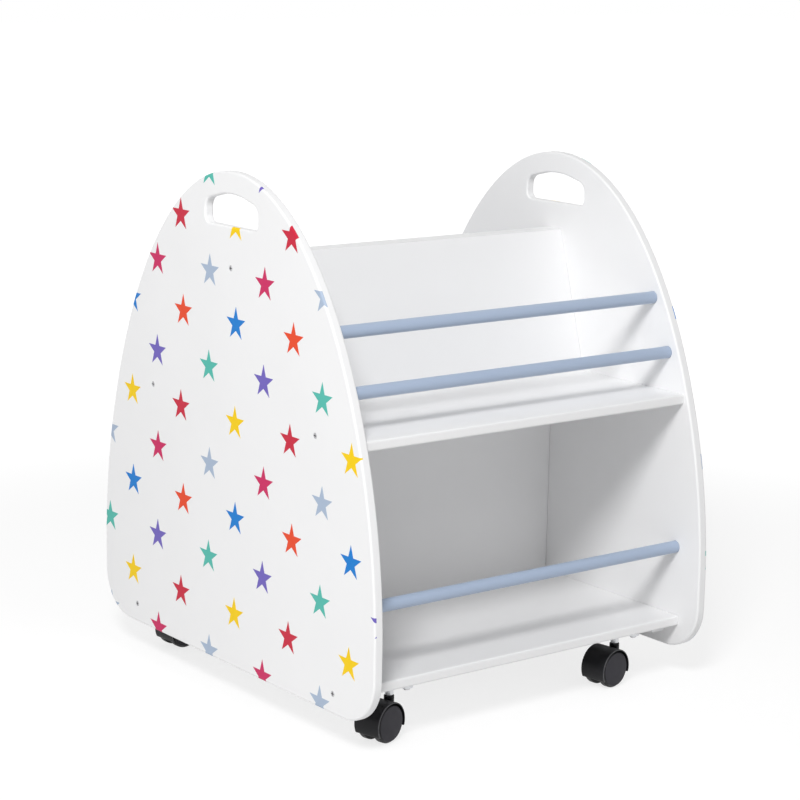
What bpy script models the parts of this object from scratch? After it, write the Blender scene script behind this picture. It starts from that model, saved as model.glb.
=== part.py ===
"""Rolling bookcase for picture books: arched end panels, shelves, guard rods, twin-wheel castors.

Metres. X runs along the shelves, the front faces -Y and the floor is z = 0. The two end panels
are mirror images of each other, and so are the front and the back.
"""

import math

import bmesh
import bpy
from mathutils import Matrix, Vector

# Carcass
LENGTH = 0.500
BOARD = 0.012
GAP = 0.0003
FOOT_HEIGHT = 0.0415
BOARD_ARRIS = 0.0025
INNER_ARRIS = 0.001

# End panels, heights above the panel's foot
PANEL_HEIGHT = 0.585
PANEL_HALF_DEPTH = 0.286
PANEL_SHOULDER = 0.096
ARCH_EXPONENT = 1.84
PANEL_CORNER = 0.055
GRIP_FOOT = 0.522
GRIP_HALF_WIDTH = 0.054
GRIP_SIDE = 0.0272
GRIP_CROWN = 0.0404
GRIP_LOWER_RADIUS = 0.009
GRIP_UPPER_RADIUS = 0.014
GRIP_CROWN_RADIUS = 0.120

# Shelves and boards between the panels, heights above the panel's foot
BOTTOM_SHELF_UNDERSIDE = 0.0296
BOTTOM_SHELF_SETBACK = 0.0325
MIDDLE_SHELF_UNDERSIDE = 0.3042
MIDDLE_SHELF_SETBACK = 0.0045
DISPLAY_THICKNESS = 0.008
DISPLAY_FOOT = 0.061
DISPLAY_TOP = 0.00975
HOUSING_DEPTH = 0.003
RAIL_CENTRE = 0.4742
RAIL_HEIGHT = 0.030
CLEAT_WIDTH = 0.020
CLEAT_END_INSET = 0.056

# Guard rods: height above the panel's foot, and distance of the axis inside the panel's edge
ROD_RADIUS = 0.0074
ROD_SEAT = 0.006
RODS = {
    "upper": (0.4260, 0.0195),
    "second": (0.3631, 0.0195),
    "lower": (0.1267, 0.0425),
}

# Screws through the end panels
SCREW_LENGTH = 0.030
SCREW_RADIUS = 0.002
SCREW_HEAD_RADIUS = 0.0035
SCREW_HEAD_DEPTH = 0.0022
SHELF_SCREW_INSET = 0.0762
CLEAT_SCREW_INSET = 0.0207

# Castors
CASTOR_END_INSET = 0.0655
CASTOR_EDGE_INSET = 0.042
CASTOR_TRAIL = 0.0165
WHEEL_RADIUS = 0.023
WHEEL_WIDTH = 0.011
WHEEL_FACE_RADIUS = 0.0208
WHEEL_FACE_DROP = 0.0005
WHEEL_EDGE_DROP = 0.002
WHEEL_INNER_CHAMFER = 0.0012
WHEEL_RIM = 0.0036
WHEEL_RECESS = 0.007
HUB_RADIUS = 0.0065
HUB_BORE_DEPTH = 0.008
WEB_THICKNESS = 0.012
WHEEL_SIDE_GAP = 0.0005
FENDER_CLEARANCE = 0.0006
FENDER_THICKNESS = 0.0013
FENDER_WIDTH = 0.035
FENDER_LEADING = math.radians(-17)
FENDER_TRAILING = math.radians(208)
AXLE_RADIUS = 0.003
AXLE_LENGTH = 0.028
BOSS_RADIUS = 0.006
BOSS_TOP = 0.0496
BOSS_FOOT = 0.030
BOSS_CHAMFER = 0.0004
BOSS_GROOVE_HEIGHT = 0.0473
BOSS_GROOVE_WIDTH = 0.0008
BOSS_GROOVE_DEPTH = 0.0006
PIN_RADIUS = 0.0035
PIN_FOOT = 0.0312
PIN_CHAMFER = 0.0006
PIN_CLEARANCE = 0.0004
BORE_FOOT = 0.0295
SLEEVE_GAP = 0.0006
SLEEVE_RADIUS = 0.005
FLANGE_THICKNESS = 0.003
FLANGE_RADIUS = 0.019
FLANGE_END_RADIUS = 0.007
FLANGE_HOLE_OFFSET = 0.0325
FLANGE_SCREW_RADIUS = 0.0018
FLANGE_SCREW_LENGTH = 0.011
FLANGE_SCREW_HEAD_RADIUS = 0.004
FLANGE_SCREW_HEAD_HEIGHT = 0.0026
FLANGE_SCREW_POINT = 0.002

# How each castor stands after the last push: its turn about the swivel pin
CASTOR_TURNS = {
    ("front", "left"): math.radians(15.5),
    ("front", "right"): math.radians(9),
    ("back", "left"): math.radians(6),
    ("back", "right"): 0.0,
}

# Facets
ARCH_STEPS = 20
CORNER_STEPS = 5
SMALL_CORNER_STEPS = 3
ROUND_STEPS = 24
SCREW_STEPS = 12
PIN_STEPS = 16
FENDER_STEPS = 24
BEVEL_SEGMENTS = 2
WELD = 0.00001
FLAT_ANGLE = math.radians(0.1)
BEVEL_ANGLE = math.radians(50)
SMOOTH_ANGLE = math.radians(32)
OVERSHOOT = 0.002

SIDES = {"left": -1, "right": 1}
DEPTHS = {"front": -1, "back": 1}

# Heights above the floor and inner measures that follow from the sizes above
INNER_LENGTH = LENGTH - 2 * BOARD
FIT_LENGTH = INNER_LENGTH - 2 * GAP
PANEL_X = (LENGTH - BOARD) / 2
BOTTOM_UNDERSIDE_Z = FOOT_HEIGHT + BOTTOM_SHELF_UNDERSIDE
BOTTOM_TOP_Z = BOTTOM_UNDERSIDE_Z + BOARD
MIDDLE_UNDERSIDE_Z = FOOT_HEIGHT + MIDDLE_SHELF_UNDERSIDE
MIDDLE_TOP_Z = MIDDLE_UNDERSIDE_Z + BOARD
RAIL_Z = FOOT_HEIGHT + RAIL_CENTRE
RAIL_TOP_Z = RAIL_Z + RAIL_HEIGHT / 2
DISPLAY_LEAN = math.atan((DISPLAY_FOOT - DISPLAY_TOP) / (RAIL_TOP_Z - MIDDLE_TOP_Z))
CLEAT_Z = BOTTOM_UNDERSIDE_Z - GAP - BOARD / 2
FLANGE_TOP_Z = BOTTOM_UNDERSIDE_Z - GAP
FLANGE_UNDERSIDE_Z = FLANGE_TOP_Z - FLANGE_THICKNESS
FENDER_INNER = WHEEL_RADIUS + FENDER_CLEARANCE
FENDER_OUTER = FENDER_INNER + FENDER_THICKNESS

# Turns a drawing in X and Y into one in Y and Z, with its thickness along X
SECTION = Matrix(((0, 0, 1, 0), (1, 0, 0, 0), (0, 1, 0, 0), (0, 0, 0, 1)))
# Lays an axis drawn along Z onto X, and a drawing in X and Y onto X and Z
Z_TO_X = Matrix.Rotation(math.radians(90), 4, "Y")
UPRIGHT = Matrix.Rotation(math.radians(90), 4, "X")


def panel_half_width(height):
    """Half the depth of an end panel at a height above its foot."""
    rise = max(height - PANEL_SHOULDER, 0.0) / (PANEL_HEIGHT - PANEL_SHOULDER)
    width = PANEL_HALF_DEPTH * math.sqrt(1.0 - rise ** ARCH_EXPONENT)
    below = max(PANEL_CORNER - height, 0.0)
    return width - PANEL_CORNER + math.sqrt(PANEL_CORNER ** 2 - below ** 2)


BOTTOM_HALF_DEPTH = PANEL_HALF_DEPTH - BOTTOM_SHELF_SETBACK
MIDDLE_HALF_DEPTH = panel_half_width(MIDDLE_SHELF_UNDERSIDE + BOARD) - MIDDLE_SHELF_SETBACK
CLEAT_HALF_LENGTH = PANEL_HALF_DEPTH - CLEAT_END_INSET
CASTOR_X = INNER_LENGTH / 2 - CASTOR_END_INSET
CASTOR_Y = BOTTOM_HALF_DEPTH - CASTOR_EDGE_INSET


def make_collection(name):
    """New collection under the scene."""
    collection = bpy.data.collections.new(name)
    bpy.context.scene.collection.children.link(collection)
    return collection


def make_material(name, colour, roughness, metallic=0.0):
    """Principled material of one colour."""
    material = bpy.data.materials.new(name)
    material.use_nodes = True
    shader = material.node_tree.nodes["Principled BSDF"]
    shader.inputs["Base Color"].default_value = (*colour, 1.0)
    shader.inputs["Roughness"].default_value = roughness
    shader.inputs["Metallic"].default_value = metallic
    return material


def add_part(name, mesh, material, matrix=None, parent=None):
    """Object of the model with its own material."""
    part = bpy.data.objects.new(name, mesh)
    if not mesh.materials:
        mesh.materials.append(material)
    PARTS.objects.link(part)
    part.parent = parent
    part.matrix_local = matrix or Matrix()
    return part


def add_cutter(name, mesh, matrix=None):
    """Object that only shapes others."""
    cutter = bpy.data.objects.new(name, mesh)
    CUTTERS.objects.link(cutter)
    cutter.matrix_world = matrix or Matrix()
    cutter.hide_render = True
    cutter.display_type = "WIRE"
    return cutter


def evaluated_mesh(obj):
    """Mesh of an object with its modifiers applied."""
    bpy.context.view_layer.update()
    depsgraph = bpy.context.evaluated_depsgraph_get()
    return bpy.data.meshes.new_from_object(obj.evaluated_get(depsgraph))


def shade(mesh):
    """Smooth shading that keeps the true edges sharp."""
    mesh.shade_smooth()
    mesh.set_sharp_from_angle(angle=SMOOTH_ANGLE)


def bake(obj):
    """Apply the modifiers of a part and shade it."""
    mesh = evaluated_mesh(obj)
    obj.modifiers.clear()
    obj.data = mesh
    shade(mesh)
    return obj


def combine(obj, other, operation):
    """Exact Boolean with another object."""
    modifier = obj.modifiers.new(other.name, "BOOLEAN")
    modifier.operation = operation
    modifier.object = other
    modifier.solver = "EXACT"


def add_bevel(obj, width, segments=BEVEL_SEGMENTS):
    """Round the sharp edges."""
    modifier = obj.modifiers.new("rounding", "BEVEL")
    modifier.width = width
    modifier.segments = segments
    modifier.limit_method = "ANGLE"
    modifier.angle_limit = BEVEL_ANGLE


def tidy(mesh):
    """Weld loose caps and turn each flat cap into one face."""
    work = bmesh.new()
    work.from_mesh(mesh)
    bmesh.ops.remove_doubles(work, verts=work.verts, dist=WELD)
    bmesh.ops.dissolve_limit(work, angle_limit=FLAT_ANGLE, verts=work.verts, edges=work.edges)
    bmesh.ops.recalc_face_normals(work, faces=work.faces)
    work.to_mesh(mesh)
    work.free()


def flat_mesh(outline, thickness):
    """Closed slab with the outline in X and Y, its thickness centred on z = 0."""
    curve = bpy.data.curves.new("outline", "CURVE")
    curve.dimensions = "2D"
    curve.fill_mode = "BOTH"
    curve.extrude = thickness / 2
    spline = curve.splines.new("POLY")
    spline.points.add(len(outline) - 1)
    for point, (x, y) in zip(spline.points, outline):
        point.co = (x, y, 0.0, 1.0)
    spline.use_cyclic_u = True
    drawing = bpy.data.objects.new("outline", curve)
    CUTTERS.objects.link(drawing)
    mesh = evaluated_mesh(drawing)
    bpy.data.objects.remove(drawing)
    tidy(mesh)
    return mesh


def turned_mesh(profile, steps):
    """Solid turned about Z from a profile of (radius, height), listed from the top down."""
    mesh = bpy.data.meshes.new("profile")
    work = bmesh.new()
    verts = [work.verts.new((radius, 0.0, height)) for radius, height in profile]
    for upper, lower in zip(verts, verts[1:]):
        work.edges.new((upper, lower))
    work.to_mesh(mesh)
    work.free()
    drawing = bpy.data.objects.new("profile", mesh)
    CUTTERS.objects.link(drawing)
    screw = drawing.modifiers.new("turn", "SCREW")
    screw.steps = steps
    screw.render_steps = steps
    screw.use_merge_vertices = True
    screw.merge_threshold = WELD
    solid = evaluated_mesh(drawing)
    bpy.data.objects.remove(drawing)
    shade(solid)
    return solid


def cylinder_mesh(radius, length, steps):
    """Closed cylinder along Z, centred."""
    mesh = bpy.data.meshes.new("cylinder")
    work = bmesh.new()
    bmesh.ops.create_cone(work, cap_ends=True, segments=steps, radius1=radius, radius2=radius, depth=length)
    work.to_mesh(mesh)
    work.free()
    shade(mesh)
    return mesh


def box_mesh(size):
    """Closed box, centred."""
    mesh = bpy.data.meshes.new("box")
    work = bmesh.new()
    bmesh.ops.create_cube(work, size=1.0, matrix=Matrix.Diagonal((*size, 1.0)))
    work.to_mesh(mesh)
    work.free()
    return mesh


def arc(centre, radius, start, end, steps):
    """Points of an arc, both ends included."""
    angles = [start + (end - start) * step / steps for step in range(steps + 1)]
    return [(centre[0] + radius * math.cos(a), centre[1] + radius * math.sin(a)) for a in angles]


def rounded(corners, steps=SMALL_CORNER_STEPS):
    """Outline with each corner (x, y, radius), listed anticlockwise, rounded off."""
    outline = []
    for index, (x, y, radius) in enumerate(corners):
        if not radius:
            outline.append((x, y))
            continue
        corner = Vector((x, y))
        before = Vector(corners[index - 1][:2]) - corner
        after = Vector(corners[(index + 1) % len(corners)][:2]) - corner
        half = before.angle(after) / 2
        middle = (before.normalized() + after.normalized()).normalized()
        centre = corner + middle * radius / math.sin(half)
        inward = math.atan2(-middle.y, -middle.x)
        turn = math.pi / 2 - half
        outline += arc(centre, radius, inward - turn, inward + turn, steps)
    return outline


def move(x=0.0, y=0.0, z=0.0):
    """Shift matrix."""
    return Matrix.Translation((x, y, z))


def panel_outline():
    """Arched end panel as (depth, height above its foot), anticlockwise from the lower back corner."""
    centre = (PANEL_HALF_DEPTH - PANEL_CORNER, PANEL_CORNER)
    side = arc(centre, PANEL_CORNER, -math.pi / 2, 0.0, CORNER_STEPS)
    for step in range(ARCH_STEPS):
        angle = math.pi / 2 * step / ARCH_STEPS
        rise = math.sin(angle) ** (2.0 / ARCH_EXPONENT)
        height = PANEL_SHOULDER + (PANEL_HEIGHT - PANEL_SHOULDER) * rise
        side.append((PANEL_HALF_DEPTH * math.cos(angle), height))
    mirrored = [(-depth, height) for depth, height in reversed(side)]
    return side + [(0.0, PANEL_HEIGHT)] + mirrored


def grip_outline():
    """Hand hole: upright sides under a low crown."""
    return rounded([
        (-GRIP_HALF_WIDTH, 0.0, GRIP_LOWER_RADIUS),
        (GRIP_HALF_WIDTH, 0.0, GRIP_LOWER_RADIUS),
        (GRIP_HALF_WIDTH, GRIP_SIDE, GRIP_UPPER_RADIUS),
        (0.0, GRIP_CROWN, GRIP_CROWN_RADIUS),
        (-GRIP_HALF_WIDTH, GRIP_SIDE, GRIP_UPPER_RADIUS),
    ])


def housing(first, last, surface, floor):
    """Square corners of a housing cut across a shelf, from one depth to another."""
    return [(first, surface, 0.0), (first, floor, 0.0), (last, floor, 0.0), (last, surface, 0.0)]


def shelf_section(half_depth, underside, lower_housings, upper_housings):
    """Shelf section with rounded front and back edges and its housings, each as two depths."""
    top = underside + BOARD
    corners = [(-half_depth, underside, BOARD_ARRIS)]
    for near, far in lower_housings:
        corners += housing(near, far, underside, underside + HOUSING_DEPTH)
    corners += [(half_depth, underside, BOARD_ARRIS), (half_depth, top, BOARD_ARRIS)]
    for near, far in reversed(upper_housings):
        corners += housing(far, near, top, top - HOUSING_DEPTH)
    corners.append((-half_depth, top, BOARD_ARRIS))
    return rounded(corners)


def display_depth(height):
    """Depth of a display board's middle plane at a height above the floor."""
    return DISPLAY_FOOT - (height - MIDDLE_TOP_Z) * math.tan(DISPLAY_LEAN)


def display_housing():
    """Depths between which the foot of the back display board stands in the middle shelf."""
    half = DISPLAY_THICKNESS / 2 / math.cos(DISPLAY_LEAN) + GAP
    return display_depth(MIDDLE_TOP_Z) - half, display_depth(MIDDLE_TOP_Z - HOUSING_DEPTH) + half


def display_section(side):
    """Leaning board, cut level at its foot and at its top."""
    half = DISPLAY_THICKNESS / 2 / math.cos(DISPLAY_LEAN)
    foot = MIDDLE_TOP_Z - HOUSING_DEPTH + GAP
    corners = [
        (display_depth(foot) - half, foot),
        (display_depth(foot) + half, foot),
        (display_depth(RAIL_TOP_Z) + half, RAIL_TOP_Z),
        (display_depth(RAIL_TOP_Z) - half, RAIL_TOP_Z),
    ]
    if side < 0:
        corners = [(-depth, height) for depth, height in reversed(corners)]
    return rounded([(*corner, INNER_ARRIS) for corner in corners])


def rail_section():
    """Ridge rail that fills the wedge between the display boards."""
    inset = (DISPLAY_THICKNESS / 2 + GAP) / math.cos(DISPLAY_LEAN)
    foot = RAIL_TOP_Z - RAIL_HEIGHT
    return rounded([
        (-display_depth(foot) + inset, foot, INNER_ARRIS),
        (display_depth(foot) - inset, foot, INNER_ARRIS),
        (display_depth(RAIL_TOP_Z) - inset, RAIL_TOP_Z, INNER_ARRIS),
        (-display_depth(RAIL_TOP_Z) + inset, RAIL_TOP_Z, INNER_ARRIS),
    ])


def panel_screw_profile():
    """Countersunk screw, its head flush at z = 0 and its point down."""
    return [
        (0.0, 0.0),
        (SCREW_HEAD_RADIUS, 0.0),
        (SCREW_RADIUS, -SCREW_HEAD_DEPTH),
        (SCREW_RADIUS, -SCREW_LENGTH + SCREW_RADIUS),
        (0.0, -SCREW_LENGTH),
    ]


def screw_hole_profile():
    """Hole of a panel screw, its countersink carried on beyond the face at z = 0."""
    radius = SCREW_RADIUS + GAP
    flare = OVERSHOOT * (SCREW_HEAD_RADIUS - SCREW_RADIUS) / SCREW_HEAD_DEPTH
    return [
        (0.0, OVERSHOOT),
        (SCREW_HEAD_RADIUS + GAP + flare, OVERSHOOT),
        (radius, -SCREW_HEAD_DEPTH),
        (radius, -SCREW_LENGTH - GAP),
        (0.0, -SCREW_LENGTH - GAP),
    ]


def flange_outline():
    """Two-hole flange: a round middle that runs into a small round end at each hole."""
    slope = math.asin((FLANGE_RADIUS - FLANGE_END_RADIUS) / FLANGE_HOLE_OFFSET)
    outline = []
    for side, turn in ((1, 0.0), (-1, math.pi)):
        outline += arc((0.0, 0.0), FLANGE_RADIUS, turn - slope, turn + slope, SMALL_CORNER_STEPS)
        end = (0.0, side * FLANGE_HOLE_OFFSET)
        outline += arc(end, FLANGE_END_RADIUS, turn + slope, turn + math.pi - slope, CORNER_STEPS + 1)
    return outline


def wheel_profile():
    """Wheel half of a twin castor: domed outer face upwards, hollow inner face at z = 0."""
    face = WHEEL_WIDTH - WHEEL_FACE_DROP
    recess_radius = WHEEL_RADIUS - WHEEL_RIM
    bore = AXLE_RADIUS + GAP
    # the tread's facets are tangent to the wheel's radius, so the wheel stands on a flat
    tread = WHEEL_RADIUS / math.cos(math.pi / ROUND_STEPS)
    return [
        (0.0, WHEEL_WIDTH),
        (WHEEL_FACE_RADIUS, face),
        (tread, WHEEL_WIDTH - WHEEL_EDGE_DROP),
        (tread, WHEEL_INNER_CHAMFER),
        (tread - WHEEL_INNER_CHAMFER, 0.0),
        (recess_radius, 0.0),
        (recess_radius, WHEEL_RECESS),
        (HUB_RADIUS, WHEEL_RECESS),
        (HUB_RADIUS, 0.0),
        (bore, 0.0),
        (bore, HUB_BORE_DEPTH),
        (0.0, HUB_BORE_DEPTH),
    ]


def boss_profile():
    """Round boss of the hood, with its groove."""
    groove = BOSS_RADIUS - BOSS_GROOVE_DEPTH
    half = BOSS_GROOVE_WIDTH / 2
    return [
        (0.0, BOSS_TOP),
        (BOSS_RADIUS - BOSS_CHAMFER, BOSS_TOP),
        (BOSS_RADIUS, BOSS_TOP - BOSS_CHAMFER),
        (BOSS_RADIUS, BOSS_GROOVE_HEIGHT + half),
        (groove, BOSS_GROOVE_HEIGHT + half),
        (groove, BOSS_GROOVE_HEIGHT - half),
        (BOSS_RADIUS, BOSS_GROOVE_HEIGHT - half),
        (BOSS_RADIUS, BOSS_FOOT),
        (0.0, BOSS_FOOT),
    ]


def pin_profile():
    """Swivel pin, chamfered at its lower end."""
    return [
        (0.0, FLANGE_TOP_Z),
        (PIN_RADIUS, FLANGE_TOP_Z),
        (PIN_RADIUS, PIN_FOOT + PIN_CHAMFER),
        (PIN_RADIUS - PIN_CHAMFER, PIN_FOOT),
        (0.0, PIN_FOOT),
    ]


def flange_screw_profile():
    """Pan-head screw, point up, its head under z = 0."""
    return [
        (0.0, FLANGE_SCREW_LENGTH),
        (FLANGE_SCREW_RADIUS, FLANGE_SCREW_LENGTH - FLANGE_SCREW_POINT),
        (FLANGE_SCREW_RADIUS, 0.0),
        (FLANGE_SCREW_HEAD_RADIUS, 0.0),
        (FLANGE_SCREW_HEAD_RADIUS, -FLANGE_SCREW_HEAD_HEIGHT / 2),
        (FLANGE_SCREW_HEAD_RADIUS - FLANGE_SCREW_HEAD_HEIGHT / 2, -FLANGE_SCREW_HEAD_HEIGHT),
        (0.0, -FLANGE_SCREW_HEAD_HEIGHT),
    ]


def rod_places():
    """Rods: name, depth and height above the floor."""
    places = []
    for rod_name, (height, inset) in RODS.items():
        for depth_name, depth in DEPTHS.items():
            y = depth * (panel_half_width(height) - inset)
            places.append((f"{rod_name}_{depth_name}", y, FOOT_HEIGHT + height))
    return places


def screw_places(side):
    """Screws of one end panel: name, the board it bites into, depth and height above the floor."""
    places = [("ridge", "ridge_rail", 0.0, RAIL_Z)]
    for depth_name, depth in DEPTHS.items():
        shelf_y = depth * (MIDDLE_HALF_DEPTH - SHELF_SCREW_INSET)
        cleat_y = depth * (CLEAT_HALF_LENGTH - CLEAT_SCREW_INSET)
        places.append((f"shelf_{depth_name}", "middle_shelf", shelf_y, MIDDLE_UNDERSIDE_Z + BOARD / 2))
        places.append((f"cleat_{depth_name}", f"cleat_{side}", cleat_y, CLEAT_Z))
    return places


def build_boards():
    """Shelves, divider, display boards, ridge rail and cleats."""
    boards = {}
    under_divider = (-BOARD / 2 - GAP, BOARD / 2 + GAP)
    back_foot = display_housing()
    front_foot = (-back_foot[1], -back_foot[0])
    sections = {
        "bottom_shelf": shelf_section(BOTTOM_HALF_DEPTH, BOTTOM_UNDERSIDE_Z, [], [under_divider]),
        "middle_shelf": shelf_section(MIDDLE_HALF_DEPTH, MIDDLE_UNDERSIDE_Z, [under_divider],
                                      [front_foot, back_foot]),
        "display_board_front": display_section(-1),
        "display_board_back": display_section(1),
        "ridge_rail": rail_section(),
    }
    for name, section in sections.items():
        boards[name] = add_part(name, flat_mesh(section, FIT_LENGTH), WHITE_BOARD, SECTION)
    space = MIDDLE_UNDERSIDE_Z - BOTTOM_TOP_Z
    divider = box_mesh((FIT_LENGTH, BOARD, space + 2 * (HOUSING_DEPTH - GAP)))
    boards["divider"] = add_part("divider", divider, WHITE_BOARD, move(z=BOTTOM_TOP_Z + space / 2))
    for name, side in SIDES.items():
        x = side * (INNER_LENGTH / 2 - GAP - CLEAT_WIDTH / 2)
        mesh = box_mesh((CLEAT_WIDTH, 2 * CLEAT_HALF_LENGTH, BOARD))
        cleat = add_part(f"cleat_{name}", mesh, WHITE_BOARD, move(x=x, z=CLEAT_Z))
        add_bevel(cleat, INNER_ARRIS, 1)
        boards[cleat.name] = cleat
    return boards


def panel_mesh(screw_hole):
    """Left end panel about x = 0, with its hand hole, blind rod bores and screw holes."""
    panel = add_cutter("panel_blank", flat_mesh(panel_outline(), BOARD), move(z=FOOT_HEIGHT) @ SECTION)
    grip = flat_mesh(grip_outline(), BOARD + 2 * OVERSHOOT)
    grip_place = move(z=FOOT_HEIGHT + GRIP_FOOT) @ SECTION
    combine(panel, add_cutter("panel_grip", grip, grip_place), "DIFFERENCE")
    add_bevel(panel, BOARD_ARRIS)
    bore = cylinder_mesh(ROD_RADIUS + GAP, ROD_SEAT + OVERSHOOT, ROUND_STEPS)
    bore_x = (BOARD - ROD_SEAT + OVERSHOOT) / 2
    for name, y, z in rod_places():
        cutter = add_cutter(f"panel_bore_{name}", bore, move(x=bore_x, y=y, z=z) @ Z_TO_X)
        combine(panel, cutter, "DIFFERENCE")
    for name, _, y, z in screw_places("left"):
        place = move(x=-BOARD / 2, y=y, z=z) @ Z_TO_X.inverted()
        combine(panel, add_cutter(f"panel_hole_{name}", screw_hole, place), "DIFFERENCE")
    mesh = evaluated_mesh(panel)
    panel.modifiers.clear()
    mesh.transform(SECTION)
    shade(mesh)
    return mesh


def build_panels(screw_hole):
    """Both end panels; the right one is the left one turned about."""
    mesh = panel_mesh(screw_hole)
    for name, side in SIDES.items():
        turn = Matrix.Rotation(math.pi if side > 0 else 0.0, 4, "Z")
        add_part(f"end_panel_{name}", mesh, WHITE_BOARD, move(x=side * PANEL_X, z=FOOT_HEIGHT) @ turn)


def build_rods():
    """Guard rods, each seated in a blind bore of both panels."""
    rod = cylinder_mesh(ROD_RADIUS, INNER_LENGTH + 2 * (ROD_SEAT - GAP), ROUND_STEPS)
    for name, y, z in rod_places():
        add_part(f"rod_{name}", rod, ROD_PAINT, move(y=y, z=z) @ Z_TO_X)


def build_panel_screws(boards, screw_hole):
    """Countersunk screws through the end panels into the boards behind them."""
    screw = turned_mesh(panel_screw_profile(), SCREW_STEPS)
    for side_name, side in SIDES.items():
        turn = Z_TO_X if side > 0 else Z_TO_X.inverted()
        for screw_name, board, y, z in screw_places(side_name):
            place = move(x=side * LENGTH / 2, y=y, z=z) @ turn
            add_part(f"screw_{side_name}_{screw_name}", screw, SCREW_STEEL, place)
            hole = add_cutter(f"hole_{side_name}_{screw_name}", screw_hole, place)
            combine(boards[board], hole, "DIFFERENCE")


def hood_mesh():
    """Hood of a twin castor in its own frame: swivel axis through the origin, axle behind it."""
    arch = arc((-CASTOR_TRAIL, WHEEL_RADIUS), FENDER_OUTER, FENDER_LEADING, FENDER_TRAILING, FENDER_STEPS)
    hood = add_cutter("hood_blank", flat_mesh(arch, FENDER_WIDTH), UPRIGHT)
    boss = add_cutter("hood_boss", turned_mesh(boss_profile(), ROUND_STEPS))
    combine(hood, boss, "UNION")
    axle = move(x=-CASTOR_TRAIL, z=WHEEL_RADIUS) @ UPRIGHT
    depth = (FENDER_WIDTH - WEB_THICKNESS) / 2 + OVERSHOOT
    pocket_mesh = cylinder_mesh(FENDER_INNER, depth, 2 * ROUND_STEPS)
    for side in (-1, 1):
        place = move(y=side * (WEB_THICKNESS + depth) / 2) @ axle
        combine(hood, add_cutter(f"hood_pocket_{side + 1}", pocket_mesh, place), "DIFFERENCE")
    cross = cylinder_mesh(AXLE_RADIUS + GAP, WEB_THICKNESS + 2 * OVERSHOOT, PIN_STEPS)
    combine(hood, add_cutter("hood_axle_hole", cross, axle), "DIFFERENCE")
    length = BOSS_TOP - BORE_FOOT + OVERSHOOT
    bore = cylinder_mesh(PIN_RADIUS + PIN_CLEARANCE, length, PIN_STEPS)
    combine(hood, add_cutter("hood_bore", bore, move(z=BORE_FOOT + length / 2)), "DIFFERENCE")
    mesh = evaluated_mesh(hood)
    hood.modifiers.clear()
    mesh.transform(UPRIGHT)
    shade(mesh)
    return mesh


def flange_mesh():
    """Fixed flange with the sleeve that carries the swivel pin."""
    blank = flat_mesh(flange_outline(), FLANGE_THICKNESS)
    flange = add_cutter("flange_blank", blank, move(z=FLANGE_UNDERSIDE_Z + FLANGE_THICKNESS / 2))
    foot = BOSS_TOP + SLEEVE_GAP
    length = FLANGE_TOP_Z - foot - FLANGE_THICKNESS / 2
    sleeve = cylinder_mesh(SLEEVE_RADIUS, length, ROUND_STEPS)
    combine(flange, add_cutter("flange_sleeve", sleeve, move(z=foot + length / 2)), "UNION")
    bore = cylinder_mesh(PIN_RADIUS + GAP, FLANGE_TOP_Z, PIN_STEPS)
    combine(flange, add_cutter("flange_bore", bore, move(z=FLANGE_TOP_Z / 2 + OVERSHOOT)), "DIFFERENCE")
    hole = cylinder_mesh(FLANGE_SCREW_RADIUS + GAP, FLANGE_THICKNESS + 2 * OVERSHOOT, SCREW_STEPS)
    for side in (-1, 1):
        place = move(y=side * FLANGE_HOLE_OFFSET, z=FLANGE_UNDERSIDE_Z + FLANGE_THICKNESS / 2)
        combine(flange, add_cutter(f"flange_hole_{side + 1}", hole, place), "DIFFERENCE")
    mesh = evaluated_mesh(flange)
    flange.modifiers.clear()
    mesh.transform(flange.matrix_world)
    shade(mesh)
    return mesh


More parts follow.
